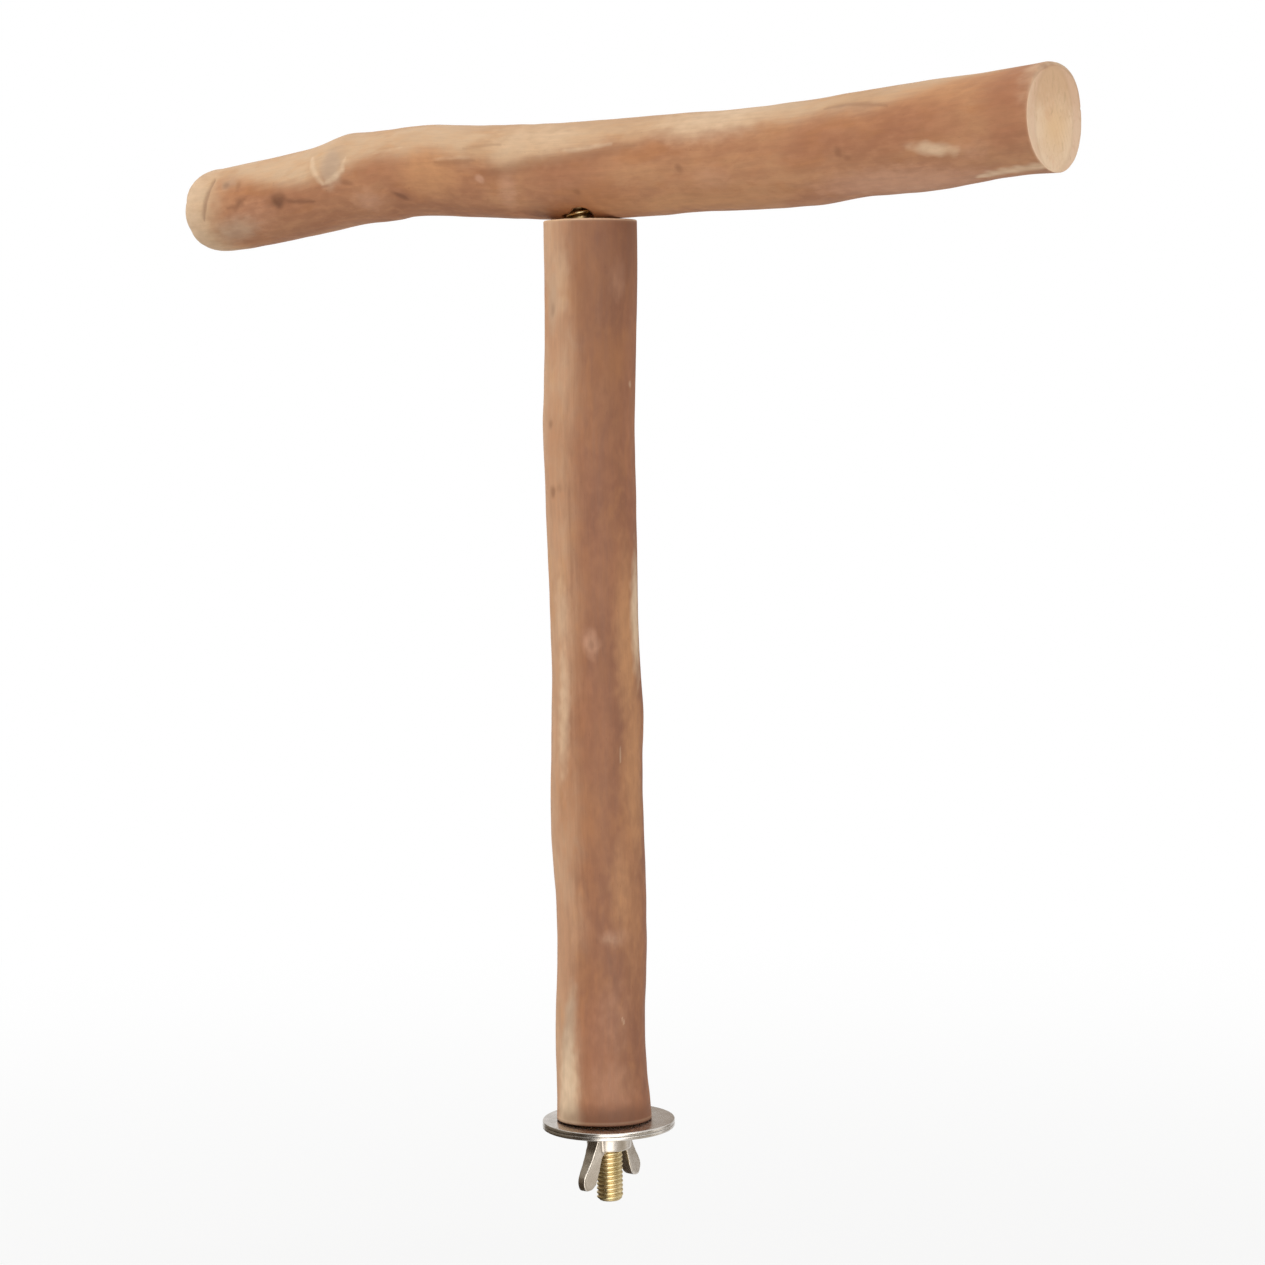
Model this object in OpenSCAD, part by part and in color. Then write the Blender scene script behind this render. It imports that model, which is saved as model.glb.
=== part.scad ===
// Bolt-on bird perch: a natural branch held crosswise on top of a second branch,
// with a stud, two washers and a wing nut below that clamp it to the wires of a cage.
// The origin is on the stud's axis, in the plane where the cage wires are clamped.
// +Z runs up the post and +X runs along the crossbar, towards its sawn end.

/* [Crossbar] */
// Length of the crossbar from end to end
bar_len = 236.8; // [210:0.1:300]
// Distance from the crossbar's worn end to the post's axis
bar_reach = 121; // [100:0.1:150]
// Mean diameter of the crossbar
bar_d = 21.4; // [18:0.1:30]
// Rounding of the crossbar's worn end
bar_worn = 5; // [1:0.1:6]
// Gap between the post's top and the crossbar's mean underside
bar_gap = 0.7; // [0.5:0.1:3]

/* [Post] */
// Length of the post
post_len = 201.9; // [120:0.1:300]
// Mean diameter of the post
post_d = 20.8; // [18:0.1:28]

/* [Branches] */
// Broken edge round a sawn end
saw_edge = 0.5; // [0.2:0.1:1.5]

/* [Joining screw] */
// Thread diameter of the screw between the post and the crossbar
join_d = 6; // [4:0.5:8]
// Length of the joining screw inside the crossbar
join_up = 14; // [8:0.5:15]
// Length of the joining screw inside the post
join_down = 20; // [12:0.5:40]
// Place of the joining screw along the crossbar, from the post's axis
join_x = -2.3; // [-3:0.1:3]
// Place of the joining screw across the crossbar, from the post's axis
join_y = -1.8; // [-3:0.1:3]
// Width of the broken rim round the crossbar's hole
mouth_rim = 1.2; // [0.5:0.1:2]

/* [Hanger bolt] */
// Thread diameter of the hanger bolt
stud_d = 6; // [4:0.5:8]
// Pitch of the hanger bolt's machine thread
stud_pitch = 1; // [0.7:0.05:1.25]
// Length of the machine thread below the post
stud_out = 18.7; // [17:0.1:40]
// Length of the wood thread inside the post
stud_in = 31; // [20:1:60]
// Rounding of the machine thread's free end
stud_tip = 0.7; // [0.3:0.1:1]

/* [Washers] */
// Diameter of both washers
washer_d = 30; // [24:0.5:40]
// Thickness of each washer
washer_t = 0.9; // [0.6:0.1:2]

/* [Wing nut] */
// Wall of the wing nut's hub round its thread
hub_wall = 2.3; // [1.5:0.1:3.5]
// Height of the wing nut's hub
hub_h = 5; // [3:0.1:8]
// Distance between the outer edges of the two wings
wing_span = 21.4; // [18:0.1:34]
// Height of the wings, from the hub's seat to their tips
wing_h = 13; // [9:0.1:20]
// Thickness of a wing at its tip
wing_t = 1.9; // [1.2:0.1:3]
// Thickness of a wing at its root
wing_root_t = 3.6; // [2:0.1:5]

/* [Clearances] */
// Radial play of the crossbar on the joining screw
bar_play = 0.05; // [0.02:0.01:0.1]
// Radial play of the wing nut on the stud
nut_play = 0.05; // [0.02:0.01:0.1]
// Radial play of the washers on the stud
washer_play = 0.2; // [0.1:0.05:0.5]
// Radial gap between a wood thread and the hole that it cut in the post
wood_play = 0.02; // [0.01:0.01:0.1]
// Room left in a hole beyond the point of its screw
point_room = 0.6; // [0.3:0.1:2]

/* [Hidden] */
$fn = 72;

// Sides of a branch's cross-section, and how many rings make its skin.
bark_sides = 24;
bar_rings = 58;
post_rings = 46;
worn_steps = 4;

bar_r = bar_d / 2;
post_r = post_d / 2;
join_r = join_d / 2;
stud_r = stud_d / 2;
hub_r = stud_r + hub_wall;

// Heights, upwards from the plane where the cage wires are clamped.
post_z = washer_t;
post_top = post_z + post_len;
bar_z = post_top + bar_gap + bar_r;
stud_end_z = post_z - stud_out;
nut_z = -washer_t;
nut_end_z = nut_z - hub_h;

// A metric thread's pitch line lies this share of the pitch inside its crest.
pitch_line_share = 0.325;
stud_pitch_r = stud_r - pitch_line_share * stud_pitch;

// A screw point's length, and the flat left on it, as shares of the thread's radius.
point_share = 1.6;
blunt_share = 0.15;

// Overrun of a cut past the face that it opens.
cut = 1;

// Stations along the crossbar, from its worn end: share of its length, how far its
// pith wanders across and up, and its radius, the last three as shares of bar_r.
bar_shares = [
    [0.00, 0.12, -0.30, 0.94],
    [0.04, 0.10, -0.29, 0.955],
    [0.075, 0.08, -0.23, 0.965],
    [0.125, 0.04, -0.13, 0.965],
    [0.165, 0.00, -0.04, 0.965],
    [0.19, -0.02, 0.04, 0.975],
    [0.215, -0.04, 0.135, 1.00],
    [0.235, -0.06, 0.165, 0.995],
    [0.265, -0.08, 0.185, 0.995],
    [0.295, -0.10, 0.23, 0.965],
    [0.33, -0.11, 0.215, 0.975],
    [0.37, -0.12, 0.15, 0.98],
    [0.42, -0.12, 0.08, 0.995],
    [0.47, -0.12, 0.015, 0.99],
    [0.53, -0.11, -0.01, 1.005],
    [0.58, -0.09, -0.02, 1.01],
    [0.63, -0.06, 0.00, 0.99],
    [0.69, -0.02, -0.01, 1.005],
    [0.765, 0.03, 0.04, 1.02],
    [0.805, 0.05, 0.12, 1.015],
    [0.845, 0.06, 0.155, 1.03],
    [0.885, 0.06, 0.20, 1.04],
    [0.925, 0.05, 0.26, 1.025],
    [0.965, 0.03, 0.315, 1.035],
    [1.00, 0.02, 0.345, 1.065],
];

// Stations up the post, from its foot: share of its length, how far its pith wanders
// along and across the crossbar, and its radius, the last three as shares of post_r.
post_shares = [
    [0.00, -0.07, -0.06, 1.035],
    [0.02, -0.075, -0.065, 1.02],
    [0.05, -0.10, -0.08, 0.995],
    [0.11, -0.11, -0.09, 0.985],
    [0.18, -0.07, -0.05, 0.99],
    [0.25, -0.07, -0.06, 1.00],
    [0.32, -0.10, -0.08, 1.025],
    [0.39, -0.105, -0.085, 1.02],
    [0.46, -0.09, -0.06, 1.01],
    [0.495, -0.08, -0.06, 0.985],
    [0.56, -0.10, -0.09, 0.975],
    [0.63, -0.11, -0.09, 0.985],
    [0.70, -0.13, -0.09, 0.995],
    [0.76, -0.15, -0.09, 0.995],
    [0.83, -0.12, -0.06, 1.005],
    [0.90, -0.085, -0.04, 1.00],
    [0.96, -0.06, -0.03, 1.00],
    [1.00, -0.06, -0.035, 1.005],
];

// Each branch's section is a little out of round: height of its two-sided and
// three-sided swell as shares of the radius, and how far they turn end to end.
oval_share = 0.016;
lobe_share = 0.010;
oval_turn = 210;
lobe_turn = -150;

// Knots and healed stubs: share of the length, angle round the branch, then width
// and height as shares of its radius.
bar_knot_shares = [
    [0.225, 110, 0.45, 0.030],
    [0.085, 200, 0.40, 0.030],
    [0.290, 250, 0.60, 0.025],
    [0.550, 40, 0.70, 0.030],
    [0.775, 320, 0.55, 0.030],
];
post_knot_shares = [
    [0.530, 300, 0.30, 0.030],
    [0.455, 30, 0.60, 0.025],
    [0.260, 150, 0.55, 0.035],
    [0.780, 215, 0.50, 0.020],
    [0.640, 90, 0.60, 0.035],
];

// Slope of column c at station i of table t.
function slope(t, i, c) =
    let (a = max(i - 1, 0), b = min(i + 1, len(t) - 1))
    (t[b][c] - t[a][c]) / (t[b][0] - t[a][0]);

// Column c at share s of the length, on a smooth curve through table t's stations.
function along(t, s, c) =
    let (
        i = max([for (k = [0 : len(t) - 2]) if (t[k][0] <= s || k == 0) k]),
        w = t[i + 1][0] - t[i][0],
        u = (s - t[i][0]) / w,
        v = 1 - u
    )
    t[i][c] * (1 + 2 * u) * v * v
    + t[i + 1][c] * (1 + 2 * v) * u * u
    + w * u * v * (slope(t, i, c) * v - slope(t, i + 1, c) * u);

// The least turn between two angles.
function turn(a, b) = abs((a - b + 540) % 360 - 180);

// How far the knots lift the skin, as a share of the radius.
function knots(table, s, a, len_share) =
    [for (k = table)
        let (
            far = (s - k[0]) * len_share / k[2],
            round_it = turn(a, k[1]) * PI / 180 / k[2]
        )
        k[3] * exp(-far * far - round_it * round_it)
    ];

function sum(v, i = 0) = i < len(v) ? v[i] + sum(v, i + 1) : 0;

// The skin's radius at share s and angle a, for a branch of radius r and length l.
function skin_r(stations, table, s, a, r, l) =
    r * along(stations, s, 3)
    * (1 + oval_share * cos(2 * a + oval_turn * s)
        + lobe_share * cos(3 * a + lobe_turn * s)
        + sum(knots(table, s, a, l / r)));

// Rings along a branch as [distance from its first end, how far the skin draws in].
function rings(l, n, first, last) = concat(
    [for (k = [0 : worn_steps - 1])
        let (q = 90 * k / worn_steps)
        [first * (1 - cos(q)), first * (1 - sin(q))]
    ],
    [for (k = [0 : n]) [first + (l - first - last) * k / n, 0]],
    [[l, last]]
);

// One ring of skin points, in the branch's own frame: across, across, along.
function ring(stations, table, at, r, l) =
    let (s = at[0] / l)
    [for (k = [0 : bark_sides - 1])
        let (
            a = 360 * k / bark_sides,
            q = skin_r(stations, table, s, a, r, l) - at[1]
        )
        [r * along(stations, s, 1) + q * cos(a), r * along(stations, s, 2) + q * sin(a), at[0]]
    ];

// A whole branch of length l and radius r as one closed skin, standing on its first end.
module branch(stations, table, r, l, n, first, last) {
    places = rings(l, n, first, last);
    points = [for (at = places) each ring(stations, table, at, r, l)];
    top = (len(places) - 1) * bark_sides;
    sides = [for (i = [0 : len(places) - 2]) for (k = [0 : bark_sides - 1])
        let (
            a = i * bark_sides + k,
            b = i * bark_sides + (k + 1) % bark_sides
        )
        each [[a, a + bark_sides, b], [b, a + bark_sides, b + bark_sides]]
    ];
    foot = [for (k = [0 : bark_sides - 1]) k];
    head = [for (k = [0 : bark_sides - 1]) top + bark_sides - 1 - k];
    polyhedron(points, concat([foot], sides, [head]));
}

// A wood screw's half of length l, from z = 0 up to its blunt point.
module wood_thread(r, l) {
    rotate_extrude()
        polygon([
            [0, 0],
            [r, 0],
            [r, l - point_share * r],
            [blunt_share * r, l],
            [0, l],
        ]);
}

// The hole that a wood screw's half sits in, with its mouth run out past z = 0.
module wood_hole(r, l, play) {
    translate([0, 0, -cut])
        cylinder(r = r + play, h = l + point_room + cut);
}

module crossbar() {
    color([0.70, 0.49, 0.35])
        difference() {
            translate([-bar_reach, 0, bar_z])
                multmatrix([[0, 0, 1, 0], [1, 0, 0, 0], [0, 1, 0, 0]])
                    branch(bar_shares, bar_knot_shares, bar_r, bar_len, bar_rings, bar_worn, saw_edge);
            translate([join_x, join_y, post_top])
                wood_hole(join_r, join_up, bar_play);
            // The drill left a shallow broken rim round the mouth of the hole.
            translate([join_x, join_y, post_top - cut])
                cylinder(r = join_r + mouth_rim, h = cut + bar_gap + mouth_rim);
        }
}

module post() {
    color([0.64, 0.43, 0.31])
        difference() {
            translate([0, 0, post_z])
                branch(post_shares, post_knot_shares, post_r, post_len, post_rings, saw_edge, saw_edge);
            translate([join_x, join_y, post_top])
                mirror([0, 0, 1])
                    wood_hole(join_r, join_down, wood_play);
            translate([0, 0, post_z])
                wood_hole(stud_r, stud_in, wood_play);
        }
}

module joining_screw() {
    color([0.74, 0.62, 0.34])
        translate([join_x, join_y, post_top]) {
            wood_thread(join_r, join_up);
            mirror([0, 0, 1])
                wood_thread(join_r, join_down);
        }
}

module hanger_bolt() {
    color([0.74, 0.62, 0.34]) {
        translate([0, 0, post_z])
            wood_thread(stud_r, stud_in);
        // Where washers and nut ride, the thread is drawn at its pitch line, and its
        // free end below the nut at the full width of its crests.
        translate([0, 0, nut_end_z])
            cylinder(r = stud_pitch_r, h = post_z - nut_end_z);
        rotate_extrude()
            polygon([
                [0, stud_end_z],
                [stud_r - stud_tip, stud_end_z],
                [stud_r, stud_end_z + stud_tip],
                [stud_r, nut_end_z],
                [0, nut_end_z],
            ]);
    }
}

// One stamped washer with its lower face at z = 0.
module washer() {
    // A stamped edge is rounded by this share of the thickness.
    burr_share = 0.2;
    burr = burr_share * washer_t;
    hole_r = stud_r + washer_play;
    out_r = washer_d / 2;
    rotate_extrude()
        polygon([
            [hole_r, burr],
            [hole_r + burr, 0],
            [out_r - burr, 0],
            [out_r, burr],
            [out_r, washer_t - burr],
            [out_r - burr, washer_t],
            [hole_r + burr, washer_t],
            [hole_r, washer_t - burr],
        ]);
}

module upper_washer() {
    color([0.80, 0.79, 0.77])
        washer();
}

module lower_washer() {
    color([0.76, 0.75, 0.73])
        translate([0, 0, -washer_t])
            washer();
}

// The outline of one wing, as shares of the half span outwards and of the wing's
// height down from the hub's seat.
wing_shares = [
    [0.30, 0.06],
    [0.53, 0.10],
    [0.64, 0.28],
    [0.76, 0.49],
    [0.90, 0.66],
    [0.975, 0.74],
    [1.00, 0.81],
    [0.985, 0.89],
    [0.93, 0.96],
    [0.85, 1.00],
    [0.77, 0.98],
    [0.71, 0.90],
    [0.60, 0.62],
    [0.48, 0.40],
    [0.30, 0.37],
];

// One wing standing out along +Y, its seat at z = 0 and its tip below.
module wing() {
    half = wing_span / 2;
    intersection() {
        rotate([90, 0, 90])
            linear_extrude(height = wing_root_t, center = true)
                polygon([for (p = wing_shares) [p[0] * half, -p[1] * wing_h]]);
        // Seen from above, the wing tapers from its root to its tip.
        translate([0, 0, -wing_h])
            linear_extrude(height = wing_h)
                polygon([
                    [-wing_root_t / 2, 0],
                    [wing_root_t / 2, 0],
                    [wing_root_t / 2, stud_r],
                    [wing_t / 2, half],
                    [-wing_t / 2, half],
                    [-wing_root_t / 2, stud_r],
                ]);
    }
}

module wing_nut() {
    // The hub draws in towards its lower end by this share, and its edges are broken.
    draft_share = 0.06;
    edge_share = 0.12;
    edge = edge_share * hub_wall;
    low_r = hub_r * (1 - draft_share);
    color([0.80, 0.79, 0.76])
        translate([0, 0, nut_z])
            difference() {
                union() {
                    rotate_extrude()
                        polygon([
                            [0, 0],
                            [hub_r - edge, 0],
                            [hub_r, -edge],
                            [low_r, edge - hub_h],
                            [low_r - edge, -hub_h],
                            [0, -hub_h],
                        ]);
                    wing();
                    mirror([0, 1, 0])
                        wing();
                }
                translate([0, 0, -wing_h - cut])
                    cylinder(r = stud_r + nut_play, h = wing_h + 2 * cut);
            }
}

crossbar();
post();
joining_screw();
hanger_bolt();
upper_washer();
lower_washer();
wing_nut();
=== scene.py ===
# %% [markdown]
# # A branch perch for a bird cage
# The perch is two peeled natural branches and five pieces of small hardware. A thick
# crossbar sits across the top of a post, held by a double-ended wood screw. Below the
# post a stud, two washers and a wing nut clamp it to the wires of a cage. The measured
# frame gives every piece its size and place in metres, and this lesson dresses each one.

# %% Load the measured frame
import math
import bmesh
import bpy
import numpy as np
from mathutils import Matrix, Vector


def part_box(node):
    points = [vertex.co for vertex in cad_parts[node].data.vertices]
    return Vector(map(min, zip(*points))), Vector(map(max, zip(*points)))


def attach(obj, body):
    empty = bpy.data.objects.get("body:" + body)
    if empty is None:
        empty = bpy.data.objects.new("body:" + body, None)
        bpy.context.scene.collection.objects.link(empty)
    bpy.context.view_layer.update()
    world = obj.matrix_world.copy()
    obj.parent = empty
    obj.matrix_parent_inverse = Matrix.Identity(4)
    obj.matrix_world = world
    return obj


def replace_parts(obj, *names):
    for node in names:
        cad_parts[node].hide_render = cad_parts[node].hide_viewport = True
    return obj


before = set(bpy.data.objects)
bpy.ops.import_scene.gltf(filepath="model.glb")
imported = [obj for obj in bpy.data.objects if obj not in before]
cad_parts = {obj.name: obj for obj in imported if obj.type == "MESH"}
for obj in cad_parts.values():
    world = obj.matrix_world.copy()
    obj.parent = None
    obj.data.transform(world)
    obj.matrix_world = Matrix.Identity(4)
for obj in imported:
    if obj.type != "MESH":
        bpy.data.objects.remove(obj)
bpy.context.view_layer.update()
MM = 0.001

# %% [markdown]
# ## The camera
# The photograph was taken from a little below the crossbar, turned about 37 degrees
# towards its sawn end, through a long lens. One could aim at the middle of the object
# and guess, but the washers' ellipse and the two ends of the crossbar fix the camera
# well, so it is set in real distances: how far, how high, how much it is turned.

# %% Place the camera
VIEW_TURN = math.radians(37)
VIEW_DISTANCE = 0.680
VIEW_HEIGHT = 0.163
AIM_HEIGHT = 0.119
VIEW_ROLL = math.radians(1.0)
PAN_RIGHT = math.radians(0.62)
TILT_DOWN = math.radians(0.64)
LENS_MM = 86.6

camera_data = bpy.data.cameras.new("perch_camera")
camera_data.lens = LENS_MM
camera_data.sensor_width = 36.0
camera_data.clip_start = 0.02
camera = bpy.data.objects.new("perch_camera", camera_data)
bpy.context.scene.collection.objects.link(camera)
bpy.context.scene.camera = camera

camera_place = Vector((
    VIEW_DISTANCE * math.sin(VIEW_TURN),
    -VIEW_DISTANCE * math.cos(VIEW_TURN),
    VIEW_HEIGHT,
))
aim = Vector((0, 0, AIM_HEIGHT)) - camera_place
looking = aim.to_track_quat("-Z", "Y").to_matrix()
looking = looking @ Matrix.Rotation(-VIEW_ROLL, 3, "Z")
looking = looking @ Matrix.Rotation(-PAN_RIGHT, 3, "Y") @ Matrix.Rotation(-TILT_DOWN, 3, "X")
camera.matrix_world = Matrix.Translation(camera_place) @ looking.to_4x4()
print("camera at", tuple(round(c, 3) for c in camera_place), "lens", LENS_MM, "mm")

# %% [markdown]
# ## Small helpers for node materials
# A node material is a little network. Placing its nodes by hand in the editor is how
# one learns them, but in a script the same network reads better when one short call
# adds a node and plugs it in. Colours are written as the 0 to 255 values that a paint
# program shows, and turned into the linear values that the renderer works with.

# %% Colours and nodes
def paint(red, green, blue):
    """A colour picked on screen, as the linear values a shader takes."""
    linear = []
    for level in (red / 255, green / 255, blue / 255):
        linear.append(level / 12.92 if level <= 0.04045 else ((level + 0.055) / 1.055) ** 2.4)
    return (*linear, 1.0)


def add(tree, kind, inputs=None, **settings):
    """Adds one node. inputs gives its sockets values, or the outputs to plug in."""
    made = tree.nodes.new("ShaderNode" + kind)
    for name, value in settings.items():
        setattr(made, name, value)
    for key, value in (inputs or {}).items():
        if isinstance(value, bpy.types.NodeSocket):
            tree.links.new(value, made.inputs[key])
        else:
            made.inputs[key].default_value = value
    return made


def blend(tree, amount, first, second, mode="MIX"):
    """A colour between two others, or one laid over the other in another blend mode."""
    inputs = {0: amount, 6: first, 7: second}
    return add(tree, "Mix", inputs, data_type="RGBA", blend_type=mode).outputs[2]


print("wood brown as the shader sees it", [round(c, 3) for c in paint(176, 124, 88)])


# %% Values, places and noises
def work(tree, operation, first, second=0.0, clamp=False):
    """One step of arithmetic on two values."""
    inputs = {0: first, 1: second}
    return add(tree, "Math", inputs, operation=operation, use_clamp=clamp).outputs[0]


def times(tree, first, second):
    """The product of two values."""
    return work(tree, "MULTIPLY", first, second)


def length(tree, vector):
    """How long a vector is."""
    return add(tree, "VectorMath", {0: vector}, operation="LENGTH").outputs["Value"]


def level(tree, value, low, high, to_low=0.0, to_high=1.0):
    """Stretches a value from the span low to high onto another span, with soft ends."""
    inputs = {"Value": value, "From Min": low, "From Max": high, "To Min": to_low, "To Max": to_high}
    stretched = add(tree, "MapRange", inputs, interpolation_type="SMOOTHSTEP", clamp=True)
    return stretched.outputs["Result"]


def stretch(tree, vector, sizes, shift=(0.0, 0.0, 0.0)):
    """Texture coordinates in which one unit is as long as sizes says, in mm."""
    shares = tuple(1 / size for size in sizes)
    return add(tree, "Mapping", {"Vector": vector, "Scale": shares, "Location": shift}).outputs[0]


def cloud(tree, vector, detail=3.0, roughness=0.5, distortion=0.0):
    """A soft random value, about 0.5 on average, that changes over one unit."""
    inputs = {"Vector": vector, "Scale": 1.0, "Detail": detail, "Roughness": roughness,
              "Distortion": distortion}
    return add(tree, "TexNoise", inputs).outputs["Fac"]


def ramp(tree, value, *stops):
    """A colour ramp through (place, colour) stops."""
    made = add(tree, "ValToRGB", {"Fac": value})
    band = made.color_ramp.elements
    for element, (place, colour) in zip(band, (stops[0], stops[-1])):
        element.position = place
        element.color = colour
    for place, colour in stops[1:-1]:
        band.new(place).color = colour
    return made.outputs["Color"]


def new_material(name):
    """An empty node material with its shader and output in place."""
    material = bpy.data.materials.new(name)
    material.use_nodes = True
    shader = material.node_tree.nodes["Principled BSDF"]
    return material, material.node_tree, shader


HELPERS = (work, times, length, level, stretch, cloud, ramp, new_material)
print("helpers ready:", ", ".join(helper.__name__ for helper in HELPERS))

# %% [markdown]
# ## Reading a branch off the frame
# A branch is the hard shape here: no two sections are alike, and it bends, swells at
# knots and is out of round. It could be sculpted, but then it would drift from the
# measured solid that carries the screws. The frame's solid is a stack of 24-point
# rings, so the rings are read back: each gives its centre, where the pith runs, and 24
# radii. Smooth curves through those give the skin at any place and angle.

# %% Read the rings of a branch
RING_POINTS = 24
ACROSS = {0: [1, 2], 2: [0, 1]}


def mesh_points(mesh):
    """Every point of a mesh, as rows of x, y and z."""
    flat = np.empty(len(mesh.vertices) * 3)
    mesh.vertices.foreach_get("co", flat)
    return flat.reshape(-1, 3)


def read_rings(name, axis, core):
    """Where a branch's rings are along its axis, their centres and their radii.
    Points nearer than core to the axis belong to screw holes and are left out."""
    points = np.unique(np.round(mesh_points(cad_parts[name].data), 6), axis=0)
    across = ACROSS[axis]
    middle = (points[:, across].max(0) + points[:, across].min(0)) / 2
    points = points[np.hypot(*(points[:, across] - middle).T) > core]
    half_step = math.pi / RING_POINTS
    found = []
    for place in np.unique(points[:, axis]):
        ring = points[points[:, axis] == place][:, across]
        if len(ring) != RING_POINTS:
            continue
        centre = ring.mean(0)
        arms = ring - centre
        order = np.argsort((np.arctan2(arms[:, 1], arms[:, 0]) + half_step) % (2 * math.pi))
        found.append((place, centre, np.hypot(*arms[order].T)))
    places, centres, radii = (np.array(column) for column in zip(*found))
    return places, centres, radii


bar_rings = read_rings("crossbar", 0, 0.0)
post_rings = read_rings("post", 2, 6.3 * MM)
for name, rings in (("crossbar", bar_rings), ("post", post_rings)):
    print(name, len(rings[0]), "rings, radius", (rings[2].min() / MM).round(2), "to",
          (rings[2].max() / MM).round(2), "mm")

# %% [markdown]
# ## From rings to a fine skin
# Straight lines between 24 points would show as facets. Along the branch, cubic
# pieces join the rings without a kink. Round it, the 24 radii are treated as a closed
# wave: a Fourier transform gives the same wave at as many angles as wanted. Both pass
# through every measured point, so the fine skin still sits on the frame.

# %% Smooth curves and rounded ends
WORN_END = 5.0 * MM
SAW_EDGE = 0.5 * MM


def curve_through(places, values, at):
    """Values at the places in at, on a smooth curve through the measured ones."""
    slopes = np.gradient(values, places, axis=0)
    i = np.clip(np.searchsorted(places, at) - 1, 0, len(places) - 2)
    gap = (places[i + 1] - places[i])[:, None]
    u = (at - places[i])[:, None] / gap
    v = 1 - u
    straight = values[i] * (1 + 2 * u) * v * v + values[i + 1] * (1 + 2 * v) * u * u
    return straight + gap * u * v * (slopes[i] * v - slopes[i + 1] * u)


def round_over(distance, radius):
    """How far a rounded end draws the skin in, at a distance from the end."""
    left = np.clip(1 - np.asarray(distance) / radius, 0, 1)
    return radius * (1 - np.sqrt(1 - left * left))


print("one millimetre from it, the worn end draws the skin in by",
      round(float(round_over(1 * MM, WORN_END)) / MM, 2), "mm")

# %% The measured skin at any place
SKIN_STEP = 0.45 * MM
SKIN_SIDES = 144


class Branch:
    """A measured branch. Distances along it start at its first end, in metres."""

    def __init__(self, rings, axis, first_end):
        places, centres, radii = rings
        self.axis = axis
        self.across = ACROSS[axis]
        self.start = places[0]
        self.length = places[-1] - places[0]
        self.first_end = first_end
        self.worn = first_end > SAW_EDGE
        along = places - self.start
        radii = radii + round_over(along, first_end)[:, None]
        radii[-1] += SAW_EDGE
        self.fine = np.linspace(0, self.length, int(self.length / SKIN_STEP) + 1)
        self.pith = curve_through(along, centres, self.fine)
        waves = np.fft.rfft(curve_through(along, radii, self.fine), axis=1)
        share = SKIN_SIDES / RING_POINTS
        self.skin = np.fft.irfft(waves * share, n=SKIN_SIDES, axis=1)
        self.mean = float(self.skin.mean())

    def centre(self, along):
        """Where the pith is across the branch."""
        return np.stack([np.interp(along, self.fine, self.pith[:, k]) for k in (0, 1)], -1)

    def radius(self, along, angle):
        """The skin's distance from the pith, between the four nearest fine points."""
        row = np.clip(along / self.length, 0, 1) * (len(self.fine) - 1)
        low = np.clip(row.astype(int), 0, len(self.fine) - 2)
        part = row - low
        turn = (angle / (2 * math.pi)) % 1 * SKIN_SIDES
        side = turn.astype(int) % SKIN_SIDES
        rest = turn - np.floor(turn)
        beyond = (side + 1) % SKIN_SIDES
        here = self.skin[low, side] * (1 - rest) + self.skin[low, beyond] * rest
        after = self.skin[low + 1, side] * (1 - rest) + self.skin[low + 1, beyond] * rest
        return here * (1 - part) + after * part

    def unroll(self, points):
        """For points in the frame: distance along, angle round and distance out."""
        along = points[:, self.axis] - self.start
        arms = points[:, self.across] - self.centre(along)
        return along, np.arctan2(arms[:, 1], arms[:, 0]), np.hypot(*arms.T)


bar = Branch(bar_rings, 0, WORN_END)
post = Branch(post_rings, 2, SAW_EDGE)
for name, branch in (("crossbar", bar), ("post", post)):
    print(name, round(branch.length / MM, 1), "mm long, mean radius", round(branch.mean / MM, 2))

# %% [markdown]
# ## Marks on the bark side
# What makes these two branches the ones in the photograph is their marks: knots, a
# healed scar, a split at the worn end, patches where the knife went a little deeper.
# Painting them on an image would be one way. Here each mark is a place on the
# unrolled skin, in mm along the branch and degrees round it, so that the same list
# can both push the surface in and colour it.

# %% Ovals and lines on the unrolled skin
def ripple(seed, along, angle, length, lobes, count=28):
    """A smooth random height, about -1 to 1, that joins up round the branch. Its waves
    are at least length long, and at most lobes of them fit round the branch."""
    dice = np.random.default_rng(seed)
    total = np.zeros(np.shape(along))
    for _ in range(count):
        pace = dice.uniform(0.35, 1.0) * 2 * math.pi / length * dice.choice([-1, 1])
        turns = dice.integers(0, lobes + 1)
        total += np.cos(pace * along + turns * angle + dice.uniform(0, 2 * math.pi))
    return total / math.sqrt(2 * count)


def soft_edge(distance, softness):
    """1 where distance is well under 1, 0 where it is well over, soft between."""
    share = np.clip((1 + softness - distance) / (2 * softness), 0, 1)
    return share * share * (3 - 2 * share)


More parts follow.
